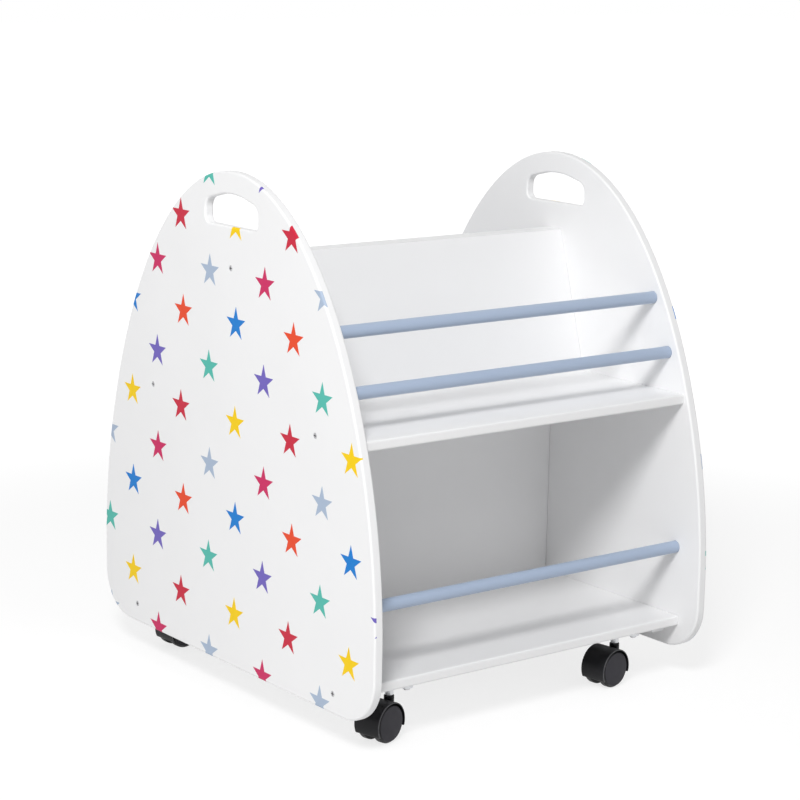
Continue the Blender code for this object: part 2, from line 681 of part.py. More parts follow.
def build_castors(bottom_shelf):
    """Four swivelling twin-wheel castors and the screws of their flanges."""
    hood = hood_mesh()
    flange = flange_mesh()
    pin = turned_mesh(pin_profile(), PIN_STEPS)
    axle = cylinder_mesh(AXLE_RADIUS, AXLE_LENGTH, PIN_STEPS)
    wheel = turned_mesh(wheel_profile(), ROUND_STEPS)
    screw = turned_mesh(flange_screw_profile(), SCREW_STEPS)
    bite = FLANGE_SCREW_LENGTH - FLANGE_THICKNESS
    pilot = cylinder_mesh(FLANGE_SCREW_RADIUS + GAP, bite + OVERSHOOT, SCREW_STEPS)
    half_facet = Matrix.Rotation(math.pi / ROUND_STEPS, 4, "Z")
    for (depth_name, side_name), turn in CASTOR_TURNS.items():
        name = f"castor_{depth_name}_{side_name}"
        place = move(x=SIDES[side_name] * CASTOR_X, y=DEPTHS[depth_name] * CASTOR_Y)
        add_part(f"{name}_flange", flange, ZINC_STEEL, place)
        add_part(f"{name}_pin", pin, ZINC_STEEL, place)
        for screw_name, side in DEPTHS.items():
            spot = place @ move(y=side * FLANGE_HOLE_OFFSET, z=FLANGE_UNDERSIDE_Z - GAP)
            add_part(f"{name}_screw_{screw_name}", screw, SCREW_STEEL, spot)
            top = FLANGE_THICKNESS + (bite - OVERSHOOT) / 2 + 2 * GAP
            hole = add_cutter(f"{name}_pilot_{screw_name}", pilot, spot @ move(z=top))
            combine(bottom_shelf, hole, "DIFFERENCE")
        swivel = bpy.data.objects.new(f"{name}_swivel", None)
        PARTS.objects.link(swivel)
        swivel.matrix_world = place @ Matrix.Rotation(turn, 4, "Z")
        add_part(f"{name}_hood", hood, BLACK_PLASTIC, parent=swivel)
        axle_place = move(x=-CASTOR_TRAIL, z=WHEEL_RADIUS)
        add_part(f"{name}_axle", axle, ZINC_STEEL, axle_place @ UPRIGHT, swivel)
        for wheel_name, side in DEPTHS.items():
            lie = UPRIGHT if side < 0 else UPRIGHT.inverted()
            inner = side * (WEB_THICKNESS / 2 + WHEEL_SIDE_GAP)
            wheel_place = axle_place @ move(y=inner) @ lie @ half_facet
            add_part(f"{name}_wheel_{wheel_name}", wheel, WHEEL_PLASTIC, wheel_place, swivel)


for item in list(bpy.data.objects):
    bpy.data.objects.remove(item)

PARTS = make_collection("rolling_bookcase")
CUTTERS = make_collection("cutters")

WHITE_BOARD = make_material("white_board", (0.88, 0.88, 0.87), 0.45)
ROD_PAINT = make_material("rod_paint", (0.42, 0.50, 0.66), 0.40)
BLACK_PLASTIC = make_material("black_plastic", (0.012, 0.012, 0.014), 0.35)
WHEEL_PLASTIC = make_material("wheel_plastic", (0.030, 0.030, 0.036), 0.45)
ZINC_STEEL = make_material("zinc_steel", (0.55, 0.56, 0.58), 0.38, 1.0)
SCREW_STEEL = make_material("screw_steel", (0.62, 0.62, 0.63), 0.30, 1.0)

hole_mesh = turned_mesh(screw_hole_profile(), SCREW_STEPS)
board_parts = build_boards()
build_panels(hole_mesh)
build_rods()
build_panel_screws(board_parts, hole_mesh)
build_castors(board_parts["bottom_shelf"])
for board_part in board_parts.values():
    bake(board_part)
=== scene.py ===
"""Looks of the rolling bookcase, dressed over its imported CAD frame.

Metres. X runs along the shelves, the front faces -Y and the floor is z = 0.
"""

import logging
import math
from collections.abc import Callable, Iterator
from contextlib import contextmanager
from dataclasses import dataclass, field
from enum import Enum

import bmesh
import bpy
from mathutils import Matrix, Vector


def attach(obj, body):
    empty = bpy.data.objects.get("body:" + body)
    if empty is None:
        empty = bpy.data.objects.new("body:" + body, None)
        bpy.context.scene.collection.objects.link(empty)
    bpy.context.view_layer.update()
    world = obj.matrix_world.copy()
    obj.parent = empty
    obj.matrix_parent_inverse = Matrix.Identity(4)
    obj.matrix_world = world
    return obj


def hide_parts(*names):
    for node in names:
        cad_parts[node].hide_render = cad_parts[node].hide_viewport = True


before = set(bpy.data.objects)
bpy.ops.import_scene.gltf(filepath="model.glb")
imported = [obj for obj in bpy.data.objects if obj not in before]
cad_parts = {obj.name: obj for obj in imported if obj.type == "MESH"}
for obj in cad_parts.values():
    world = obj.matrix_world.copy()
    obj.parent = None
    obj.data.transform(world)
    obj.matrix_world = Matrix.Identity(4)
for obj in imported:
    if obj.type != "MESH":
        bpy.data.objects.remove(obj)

LOG = logging.getLogger("rolling_bookcase")
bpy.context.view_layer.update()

Point = tuple[float, float]
Place = tuple[float, float, float]
Colour = tuple[float, float, float]
Contour = tuple[Point, ...]
Inputs = dict[str | int, object]

MM = 0.001
WELD = 0.00001
FLAT_BEND = math.radians(0.05)
FLAT_WEIGHT = 100
SMOOTH_BEND = math.radians(30)
ROUND_BEND = math.radians(50)

# Turns a drawing in X and Y into one in Y and Z, its thickness along X
SECTION = Matrix(((0, 0, 1, 0), (1, 0, 0, 0), (0, 1, 0, 0), (0, 0, 0, 1)))
# Lays an axis drawn along Z onto X, and a drawing in X and Y onto X and Z
Z_TO_X = Matrix.Rotation(math.radians(90), 4, "Y")
UPRIGHT = Matrix.Rotation(math.radians(90), 4, "X")


def srgb(red: float, green: float, blue: float) -> Colour:
    """Linear colour of an sRGB colour given from 0 to 255."""
    values = (red / 255, green / 255, blue / 255)
    return tuple(v / 12.92 if v <= 0.04045 else ((v + 0.055) / 1.055) ** 2.4 for v in values)


def move(x: float = 0.0, y: float = 0.0, z: float = 0.0) -> Matrix:
    """Shift matrix."""
    return Matrix.Translation((x, y, z))


def arc(centre: Point, radius: float, start: float, end: float, steps: int) -> list[Point]:
    """Points of an arc.

    Args:
        centre: middle of the circle.
        radius: its radius.
        start: first angle in radians.
        end: last angle in radians.
        steps: number of chords.

    Returns:
        The points, both ends included.
    """
    angles = [start + (end - start) * step / steps for step in range(steps + 1)]
    return [(centre[0] + radius * math.cos(a), centre[1] + radius * math.sin(a)) for a in angles]


def rounded(corners: list[Place], steps: int) -> list[Point]:
    """Round off the corners of an outline.

    Args:
        corners: (x, y, radius) of each corner, anticlockwise.
        steps: chords for each corner.

    Returns:
        The rounded outline.
    """
    outline = []
    for index, (x, y, radius) in enumerate(corners):
        if not radius:
            outline.append((x, y))
            continue
        corner = Vector((x, y))
        before = Vector(corners[index - 1][:2]) - corner
        after = Vector(corners[(index + 1) % len(corners)][:2]) - corner
        half = before.angle(after) / 2
        middle = (before.normalized() + after.normalized()).normalized()
        centre = corner + middle * radius / math.sin(half)
        inward = math.atan2(-middle.y, -middle.x)
        turn = math.pi / 2 - half
        outline += arc(tuple(centre), radius, inward - turn, inward + turn, steps)
    return outline


def inset(outline: list[Point], distance: float) -> list[Point]:
    """Move an anticlockwise outline by a small distance.

    Args:
        outline: its points.
        distance: how far inwards, or outwards where negative.

    Returns:
        The moved points.
    """
    moved = []
    for index, here in enumerate(outline):
        before = Vector(outline[index - 1])
        after = Vector(outline[(index + 1) % len(outline)])
        along = (after - before).normalized()
        moved.append((here[0] - along.y * distance, here[1] + along.x * distance))
    return moved


def contour(origin: Point, steps: Contour, way: int = 1) -> list[Point]:
    """Small contour given in mm, out and up from an origin (down where way is -1)."""
    return [(origin[0] + out * MM, origin[1] + way * up * MM) for out, up in steps]


def new_object(name: str, data: bpy.types.ID) -> bpy.types.Object:
    """Make an object and link it to the scene.

    Args:
        name: its name.
        data: its mesh, curve, lamp or camera.

    Returns:
        The object.
    """
    obj = bpy.data.objects.new(name, data)
    bpy.context.scene.collection.objects.link(obj)
    return obj


def applied(obj: bpy.types.Object) -> bpy.types.Mesh:
    """Apply an object's modifiers and remove the object.

    Args:
        obj: the object.

    Returns:
        A plain mesh.
    """
    bpy.context.view_layer.update()
    depsgraph = bpy.context.evaluated_depsgraph_get()
    mesh = bpy.data.meshes.new_from_object(obj.evaluated_get(depsgraph))
    bpy.data.objects.remove(obj)
    return mesh


@contextmanager
def edited(mesh: bpy.types.Mesh) -> Iterator[bmesh.types.BMesh]:
    """Open a mesh for editing, and write it back at the end.

    Args:
        mesh: the mesh.

    Yields:
        The open mesh.
    """
    work = bmesh.new()
    work.from_mesh(mesh)
    yield work
    work.to_mesh(mesh)
    work.free()


def settle(mesh: bpy.types.Mesh, bend: float = SMOOTH_BEND) -> bpy.types.Mesh:
    """Smooth a mesh between its true edges, with the flats kept flat.

    Args:
        mesh: mesh to shade.
        bend: angle over which an edge is sharp.

    Returns:
        A copy with weighted normals.
    """
    mesh.shade_smooth()
    mesh.set_sharp_from_angle(angle=bend)
    obj = new_object("settling", mesh)
    weights = obj.modifiers.new("flats", "WEIGHTED_NORMAL")
    weights.keep_sharp = True
    weights.weight = FLAT_WEIGHT
    return applied(obj)


def mark(mesh: bpy.types.Mesh, test: Callable[[bpy.types.MeshPolygon], bool]) -> bpy.types.Mesh:
    """Give the faces that pass a test the second material.

    Args:
        mesh: the mesh.
        test: true for such a face.

    Returns:
        The same mesh.
    """
    for polygon in mesh.polygons:
        polygon.material_index = int(test(polygon))
    return mesh


def flat_slab(outline: list[Point], thickness: float) -> bpy.types.Mesh:
    """Make a closed slab, centred on z = 0.

    Args:
        outline: its outline in X and Y.
        thickness: its thickness.

    Returns:
        The mesh.
    """
    curve = bpy.data.curves.new("outline", "CURVE")
    curve.dimensions = "2D"
    curve.fill_mode = "BOTH"
    curve.extrude = thickness / 2
    spline = curve.splines.new("POLY")
    spline.points.add(len(outline) - 1)
    for point, (x, y) in zip(spline.points, outline):
        point.co = (x, y, 0.0, 1.0)
    spline.use_cyclic_u = True
    mesh = applied(new_object("outline", curve))
    with edited(mesh) as work:
        bmesh.ops.remove_doubles(work, verts=work.verts, dist=WELD)
        bmesh.ops.dissolve_limit(work, angle_limit=FLAT_BEND, verts=work.verts, edges=work.edges)
        bmesh.ops.recalc_face_normals(work, faces=work.faces)
    return mesh


def turned(profile: list[Point], steps: int) -> bpy.types.Mesh:
    """Solid turned about Z.

    Args:
        profile: (radius, height) points from the top down the outer side.
        steps: facets round the axis.

    Returns:
        The closed mesh.
    """
    mesh = bpy.data.meshes.new("profile")
    with edited(mesh) as work:
        verts = [work.verts.new((radius, 0.0, height)) for radius, height in profile]
        for upper, lower in zip(verts, verts[1:]):
            work.edges.new((upper, lower))
    drawing = new_object("profile", mesh)
    screw = drawing.modifiers.new("turn", "SCREW")
    screw.steps = steps
    screw.render_steps = steps
    screw.use_merge_vertices = True
    screw.merge_threshold = WELD
    return applied(drawing)


def cylinder(radius: float, length: float, steps: int) -> bpy.types.Mesh:
    """Closed cylinder along Z, centred."""
    half = length / 2
    return turned([(0.0, half), (radius, half), (radius, -half), (0.0, -half)], steps)


def box(size: Place) -> bpy.types.Mesh:
    """Make a closed box, centred.

    Args:
        size: its sizes along X, Y and Z.

    Returns:
        The mesh.
    """
    mesh = bpy.data.meshes.new("box")
    with edited(mesh) as work:
        bmesh.ops.create_cube(work, size=1.0, matrix=Matrix.Diagonal((*size, 1.0)))
    return mesh


def joined(meshes: list[bpy.types.Mesh], name: str) -> bpy.types.Mesh:
    """Join meshes, each with its own faces.

    Args:
        meshes: the meshes.
        name: name of the result.

    Returns:
        One mesh.
    """
    result = bpy.data.meshes.new(name)
    with edited(result) as work:
        for mesh in meshes:
            work.from_mesh(mesh)
    return result


def places_object(name: str, places: list[Place]) -> bpy.types.Object:
    """Make an object whose vertices mark places.

    Args:
        name: its name.
        places: the places.

    Returns:
        The object.
    """
    mesh = bpy.data.meshes.new(name)
    mesh.from_pydata(places, [], [])
    return new_object(name, mesh)


class Solid:
    """A solid under construction, made of a blank, cutters and rounded edges."""

    def __init__(self, blank: bpy.types.Mesh, matrix: Matrix | None = None) -> None:
        """Start from a blank.

        Args:
            blank: mesh of the blank.
            matrix: its place.
        """
        self.obj = new_object("blank", blank)
        self.obj.matrix_world = matrix or Matrix()
        self.helpers: list[bpy.types.Object] = []

    def _combine(self, mesh: bpy.types.Mesh, matrix: Matrix | None, operation: str) -> "Solid":
        """Add a Boolean with a helper object.

        Args:
            mesh: shape of the helper.
            matrix: its place.
            operation: DIFFERENCE or UNION.

        Returns:
            The same solid.
        """
        helper = new_object("helper", mesh)
        helper.matrix_world = matrix or Matrix()
        self.helpers.append(helper)
        modifier = self.obj.modifiers.new(operation.lower(), "BOOLEAN")
        modifier.operation = operation
        modifier.object = helper
        modifier.solver = "EXACT"
        return self

    def cut(self, mesh: bpy.types.Mesh, matrix: Matrix | None = None) -> "Solid":
        """Take a shape away."""
        return self._combine(mesh, matrix, "DIFFERENCE")

    def join(self, mesh: bpy.types.Mesh, matrix: Matrix | None = None) -> "Solid":
        """Fuse a shape on."""
        return self._combine(mesh, matrix, "UNION")

    def round_edges(self, width: float, segments: int, bend: float = ROUND_BEND) -> "Solid":
        """Round the edges that bend.

        Args:
            width: width of the rounding.
            segments: chords of the rounding.
            bend: angle over which an edge is rounded.

        Returns:
            The same solid.
        """
        modifier = self.obj.modifiers.new("rounding", "BEVEL")
        modifier.width = width
        modifier.segments = segments
        modifier.limit_method = "ANGLE"
        modifier.angle_limit = bend
        modifier.use_clamp_overlap = True
        return self

    def finish(self) -> bpy.types.Mesh:
        """Apply everything.

        Returns:
            The finished mesh, in place.
        """
        bpy.context.view_layer.update()
        place = self.obj.matrix_world.copy()
        mesh = applied(self.obj)
        mesh.transform(place)
        for helper in self.helpers:
            bpy.data.objects.remove(helper)
        return settle(mesh)


def put(
    name: str,
    mesh: bpy.types.Mesh,
    materials: list[bpy.types.Material],
    nodes: list[str],
    body: str = "carcass",
) -> None:
    """Place a finished mesh as a piece of the bookcase.

    Args:
        name: name of the piece.
        mesh: its mesh, in the row frame.
        materials: finishes, in the order of the mesh's material indices.
        nodes: CAD nodes that it stands for.
        body: CAD body that it rides on.
    """
    indices = [polygon.material_index for polygon in mesh.polygons]
    mesh.materials.clear()
    for material in materials:
        mesh.materials.append(material)
    mesh.polygons.foreach_set("material_index", indices)
    obj = new_object(name, mesh)
    mesh.name = name
    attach(obj, body)
    if nodes:
        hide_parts(*nodes)
    LOG.info("%s: %d faces on %s", name, len(mesh.polygons), body)


class NodeTree:
    """Builder of a node tree."""

    def __init__(self, group: bpy.types.NodeTree) -> None:
        """Work on a tree."""
        self.group = group

    def fill(self, node: bpy.types.Node, inputs: Inputs) -> bpy.types.Node:
        """Set or link the inputs of a node.

        Args:
            node: the node.
            inputs: value or linked output for each input socket, by name or number.

        Returns:
            The same node.
        """
        for label, value in inputs.items():
            if isinstance(value, bpy.types.NodeSocket):
                self.group.links.new(value, node.inputs[label])
            else:
                node.inputs[label].default_value = value
        return node

    def node(self, kind: str, inputs: Inputs | None = None, **settings: object) -> bpy.types.Node:
        """Add a node.

        Args:
            kind: type name of the node.
            inputs: value or linked output for each input socket.
            settings: properties of the node.

        Returns:
            The node.
        """
        node = self.group.nodes.new(kind)
        for label, value in settings.items():
            setattr(node, label, value)
        return self.fill(node, inputs or {})

    def maths(self, operation: str, first: object, second: object) -> bpy.types.NodeSocket:
        """Output of a shader Math node on two values or outputs."""
        return self.node("ShaderNodeMath", {0: first, 1: second}, operation=operation).outputs[0]


class GroupTree(NodeTree):
    """Node group with named inputs and outputs."""

    def __init__(
        self, name: str, kind: str, inputs: dict[str, str], outputs: dict[str, str]
    ) -> None:
        """Make the group.

        Args:
            name: name of the group.
            kind: type of its tree.
            inputs: name of each input and its socket type.
            outputs: name of each output and its socket type.
        """
        super().__init__(bpy.data.node_groups.new(name, kind))
        face = self.group.interface
        self.keys = {
            label: face.new_socket(label, in_out="INPUT", socket_type=socket).identifier
            for label, socket in inputs.items()
        }
        for label, socket in outputs.items():
            face.new_socket(label, in_out="OUTPUT", socket_type=socket)
        self.source = self.group.nodes.new("NodeGroupInput")
        self.sink = self.group.nodes.new("NodeGroupOutput")

    def given(self, label: str) -> bpy.types.NodeSocket:
        """Output of a named input."""
        return self.source.outputs[label]


class GeometryTree(GroupTree):
    """Geometry node tree that makes a mesh."""

    def __init__(self, name: str, sockets: dict[str, str]) -> None:
        """Make the tree with a socket type for each named input."""
        super().__init__(name, "GeometryNodeTree", sockets, {"Geometry": "NodeSocketGeometry"})

    def end(self, geometry: bpy.types.NodeSocket) -> None:
        """Realize the instances and set the material.

        Args:
            geometry: output that carries them.
        """
        real = self.node("GeometryNodeRealizeInstances", {"Geometry": geometry})
        inked = self.node("GeometryNodeSetMaterial", {
            "Geometry": real.outputs[0],
            "Material": self.given("Material"),
        })
        self.fill(self.sink, {"Geometry": inked.outputs[0]})

    def run(self, name: str, values: dict[str, object]) -> bpy.types.Mesh:
        """Evaluate the tree on an empty mesh.

        Args:
            name: name of the result.
            values: value of each named input.

        Returns:
            A plain mesh.
        """
        obj = new_object(name, bpy.data.meshes.new(name))
        modifier = obj.modifiers.new(name, "NODES")
        modifier.node_group = self.group
        for label, value in values.items():
            modifier[self.keys[label]] = value
        return applied(obj)


def repeat_tree() -> GeometryTree:
    """Make the tree that sets a copy of one shape at every vertex of another mesh.

    Returns:
        The tree.
    """
    tree = GeometryTree("set_out_copies", {
        "Places": "NodeSocketObject",
        "Shape": "NodeSocketObject",
        "Turn": "NodeSocketVector",
        "Material": "NodeSocketMaterial",
    })
    places = tree.node("GeometryNodeObjectInfo", {"Object": tree.given("Places")})
    shape = tree.node("GeometryNodeObjectInfo", {"Object": tree.given("Shape"), "As Instance": True})
    turn = tree.node("FunctionNodeEulerToRotation", {"Euler": tree.given("Turn")})
    copies = tree.node("GeometryNodeInstanceOnPoints", {
        "Points": places.outputs["Geometry"],
        "Instance": shape.outputs["Geometry"],
        "Rotation": turn.outputs[0],
    })
    tree.end(copies.outputs[0])
    return tree


def rod_tree() -> GeometryTree:
    """Make the tree that sweeps a round rod along X through every vertex of a mesh.

    Returns:
        The tree.
    """
    tree = GeometryTree("sweep_rods", {
        "Places": "NodeSocketObject",
        "Radius": "NodeSocketFloat",
        "Start": "NodeSocketVector",
        "End": "NodeSocketVector",
        "Facets": "NodeSocketInt",
        "Material": "NodeSocketMaterial",
    })
    places = tree.node("GeometryNodeObjectInfo", {"Object": tree.given("Places")})
    line = tree.node("GeometryNodeCurvePrimitiveLine", {
        "Start": tree.given("Start"),
        "End": tree.given("End"),
    })
    circle = tree.node("GeometryNodeCurvePrimitiveCircle", {
        "Resolution": tree.given("Facets"),
        "Radius": tree.given("Radius"),
    })
    rod = tree.node("GeometryNodeCurveToMesh", {
        "Curve": line.outputs[0],
        "Profile Curve": circle.outputs[0],
        "Fill Caps": True,
    })
    copies = tree.node("GeometryNodeInstanceOnPoints", {
        "Points": places.outputs["Geometry"],
        "Instance": rod.outputs[0],
    })
    tree.end(copies.outputs[0])
    return tree


def star_tree() -> GeometryTree:
    """Make the tree that prints one ink's stars on a grid, cut off at the edge of a board.

    Returns:
        The tree.
    """
    tree = GeometryTree("print_stars", {
        "Board": "NodeSocketObject",
        "Columns": "NodeSocketInt",
        "Rows": "NodeSocketInt",
        "Width": "NodeSocketFloat",
        "Height": "NodeSocketFloat",
        "Middle": "NodeSocketVector",
        "Outer Radius": "NodeSocketFloat",
        "Inner Radius": "NodeSocketFloat",
        "Thickness": "NodeSocketFloat",
        "Material": "NodeSocketMaterial",
    })
    grid = tree.node("GeometryNodeMeshGrid", {
        "Size X": tree.given("Width"),
        "Size Y": tree.given("Height"),
        "Vertices X": tree.given("Columns"),
        "Vertices Y": tree.given("Rows"),
    })
    centred = tree.node("GeometryNodeTransform", {
        "Geometry": grid.outputs["Mesh"],
        "Translation": tree.given("Middle"),
    })
    star = tree.node("GeometryNodeCurveStar", {
        "Points": 5,
        "Inner Radius": tree.given("Inner Radius"),
        "Outer Radius": tree.given("Outer Radius"),
    })
    upright = tree.node("GeometryNodeTransform", {
        "Geometry": star.outputs["Curve"],
        "Rotation": (0.0, 0.0, math.radians(90)),
    })
    face = tree.node("GeometryNodeFillCurve", {"Curve": upright.outputs[0]}, mode="NGONS")
    raised = tree.node("GeometryNodeExtrudeMesh", {
        "Mesh": face.outputs[0],
        "Offset Scale": tree.given("Thickness"),
        "Individual": False,
    })
    under = tree.node("GeometryNodeFlipFaces", {"Mesh": face.outputs[0]})
    both = tree.node("GeometryNodeJoinGeometry")
    tree.group.links.new(raised.outputs["Mesh"], both.inputs[0])
    tree.group.links.new(under.outputs[0], both.inputs[0])
    closed = tree.node("GeometryNodeMergeByDistance", {"Geometry": both.outputs[0], "Distance": WELD})
    copies = tree.node("GeometryNodeInstanceOnPoints", {
        "Points": centred.outputs[0],
        "Instance": closed.outputs[0],
    })
    real = tree.node("GeometryNodeRealizeInstances", {"Geometry": copies.outputs[0]})
    board = tree.node("GeometryNodeObjectInfo", {"Object": tree.given("Board")})
    trimmed = tree.node("GeometryNodeMeshBoolean", operation="INTERSECT", solver="EXACT")
    tree.group.links.new(real.outputs[0], trimmed.inputs["Mesh 2"])
    tree.group.links.new(board.outputs["Geometry"], trimmed.inputs["Mesh 2"])
    tree.end(trimmed.outputs["Mesh"])
    return tree


def set_out(
    tree: GeometryTree,
    name: str,
    shape: bpy.types.Mesh,
    places: list[Place],
    turn: Place,
    material: bpy.types.Material,
) -> bpy.types.Mesh:
    """Set out copies of a mesh.

    Args:
        tree: tree that repeats a shape.
        name: name of the result.
        shape: mesh to copy.
        places: where each copy goes.
        turn: turn of all copies about X, Y and Z.
        material: their finish.

    Returns:
        One mesh of all copies.
    """
    helpers = {"Places": places_object(name, places), "Shape": new_object(name, shape)}
    mesh = tree.run(name, {**helpers, "Turn": turn, "Material": material})
    for helper in helpers.values():
        bpy.data.objects.remove(helper)
    return mesh


class SurfaceGroups:
    """Shader node groups that several finishes share."""

    DUST_TILT = 0.3

    def __init__(self) -> None:
        """Build the groups once."""
        self.skin = self._skin()
        self.dust = self._dust()

    @staticmethod
    def _start(name: str, inputs: list[str], outputs: list[str]) -> GroupTree:
        """Empty group with float sockets."""
        given, made = (dict.fromkeys(labels, "NodeSocketFloat") for labels in (inputs, outputs))
        return GroupTree(name, "ShaderNodeTree", given, made)

    @staticmethod
    def _noise(
        tree: GroupTree, place: bpy.types.NodeSocket, size: bpy.types.NodeSocket, detail: float
    ) -> bpy.types.NodeSocket:
        """Noise with lumps of a size in metres."""
        inputs = {"Vector": place, "Scale": tree.maths("DIVIDE", 1.0, size), "Detail": detail}
        return tree.node("ShaderNodeTexNoise", inputs).outputs["Fac"]

    def _skin(self) -> bpy.types.NodeTree:
        """Make the fine grain of a sprayed or moulded skin.

        Returns:
            A group with Height for a bump and Mottle from 0 to 1.
        """
        tree = self._start("fine_skin", ["Grain Size", "Cloud Size", "Stretch"], ["Height", "Mottle"])
        place = tree.node("ShaderNodeTexCoord").outputs["Object"]
        stretch = tree.node("ShaderNodeCombineXYZ", {"X": tree.given("Stretch"), "Y": 1.0, "Z": 1.0})
        vectors = {0: place, 1: stretch.outputs[0]}
        scaled = tree.node("ShaderNodeVectorMath", vectors, operation="MULTIPLY").outputs[0]
        tree.fill(tree.sink, {
            "Height": self._noise(tree, scaled, tree.given("Grain Size"), detail=3.0),
            "Mottle": self._noise(tree, scaled, tree.given("Cloud Size"), detail=4.0),
        })
        return tree.group

    def _dust(self) -> bpy.types.NodeTree:
        """Make the thin dust that lies on what faces up.

        Returns:
            A group with Mask from 0 to Amount.
        """
        tree = self._start("settled_dust", ["Amount", "Patch Size"], ["Mask"])
        normal = tree.node("ShaderNodeNewGeometry").outputs["Normal"]
        split = tree.node("ShaderNodeSeparateXYZ", {0: normal})
        facing = {"Value": split.outputs["Z"], "From Min": self.DUST_TILT}
        upward = tree.node("ShaderNodeMapRange", facing).outputs[0]
        place = tree.node("ShaderNodeTexCoord").outputs["Object"]
        noise = self._noise(tree, place, tree.given("Patch Size"), detail=5.0)
        patch = tree.maths("MULTIPLY", upward, noise)
        tree.fill(tree.sink, {"Mask": tree.maths("MULTIPLY", patch, tree.given("Amount"))})
        return tree.group


def new_surface(name: str) -> tuple[bpy.types.Material, NodeTree, bpy.types.Node]:
    """Make a material.

    Args:
        name: its name.

    Returns:
        The material, its tree and its Principled BSDF.
    """
    material = bpy.data.materials.new(name)
    material.use_nodes = True
    tree = NodeTree(material.node_tree)
    return material, tree, tree.group.nodes["Principled BSDF"]


@dataclass(frozen=True)
class Finish:
    """A surface finish: its colour, how it varies, and its skin.

    Lengths are in metres; roughness runs from its first to its second value over the mottle's range.
    """

    name: str
    colour: Colour
    roughness: tuple[float, float]
    second_colour: Colour | None = None
    metallic: float = 0.0
    specular: float = 0.5
    grain: float = 0.0004
    cloud: float = 0.05
    stretch: float = 1.0
    bump: float = 0.08
    bump_depth: float = 0.00004
    mottle: tuple[float, float] = (0.3, 0.7)
    dust: float = 0.0
    dust_patch: float = 0.02
    dust_colour: Colour = (0.42, 0.41, 0.39)

    def build(self, groups: SurfaceGroups) -> bpy.types.Material:
        """Make the material.

        Args:
            groups: shared shader node groups.

        Returns:
            The material.
        """
        material, tree, shader = new_surface(self.name)
        skin = tree.node("ShaderNodeGroup", {
            "Grain Size": self.grain,
            "Cloud Size": self.cloud,
            "Stretch": self.stretch,
        }, node_tree=groups.skin)
        spread = tree.node("ShaderNodeMapRange", {
            "Value": skin.outputs["Mottle"],
            "From Min": self.mottle[0],
            "From Max": self.mottle[1],
            "To Min": self.roughness[0],
            "To Max": self.roughness[1],
        })
        bump = tree.node("ShaderNodeBump", {
            "Height": skin.outputs["Height"],
            "Strength": self.bump,
            "Distance": self.bump_depth,
        })
        tree.fill(shader, {
            "Base Color": (*self.colour, 1.0),
            "Metallic": self.metallic,
            "Specular IOR Level": self.specular,
            "Roughness": spread.outputs[0],
            "Normal": bump.outputs[0],
        })
        if self.second_colour is not None:
            tree.fill(shader, {"Base Color": self._varied(tree, skin.outputs["Mottle"], groups)})
        return material

    def _varied(
        self, tree: NodeTree, mottle: bpy.types.NodeSocket, groups: SurfaceGroups
    ) -> bpy.types.NodeSocket:
        """Blend the two colours over the mottle, and dust over both.

        Args:
            tree: tree of the material.
            mottle: output of the mottle.
            groups: shared shader node groups.

        Returns:
            Output of the colour.
        """
        blend = tree.node("ShaderNodeMix", {
            "Factor": mottle,
            "A": (*self.colour, 1.0),
            "B": (*self.second_colour, 1.0),
        }, data_type="RGBA")
        if not self.dust:
            return blend.outputs["Result"]
        dust = tree.node("ShaderNodeGroup", {
            "Amount": self.dust,
            "Patch Size": self.dust_patch,
        }, node_tree=groups.dust)
        cover = tree.node("ShaderNodeMix", {
            "Factor": dust.outputs["Mask"],
            "A": blend.outputs["Result"],
            "B": (*self.dust_colour, 1.0),
        }, data_type="RGBA")
        return cover.outputs["Result"]


class Ink(Enum):
    """Inks of the star print: sRGB colour, first column and row of its grid, and its print offset in mm."""

    YELLOW = ((247, 207, 0), 1, 2.0, (0.0, 0.0))
    BLUE = ((12, 124, 207), 1, 1.0, (-1.3, 1.0))
    MAGENTA = ((202, 38, 96), 2, 2.5, (-2.5, -2.7))
    VIOLET = ((113, 99, 186), 2, 1.5, (-1.3, 0.6))
    RED = ((200, 36, 62), 3, 2.0, (2.7, -0.5))
    ORANGE = ((231, 74, 36), 3, 1.0, (-2.7, 0.5))
    SLATE = ((170, 186, 208), 0, 2.5, (-3.2, -1.6))
    TEAL = ((84, 186, 172), 0, 1.5, (-1.5, 0.1))


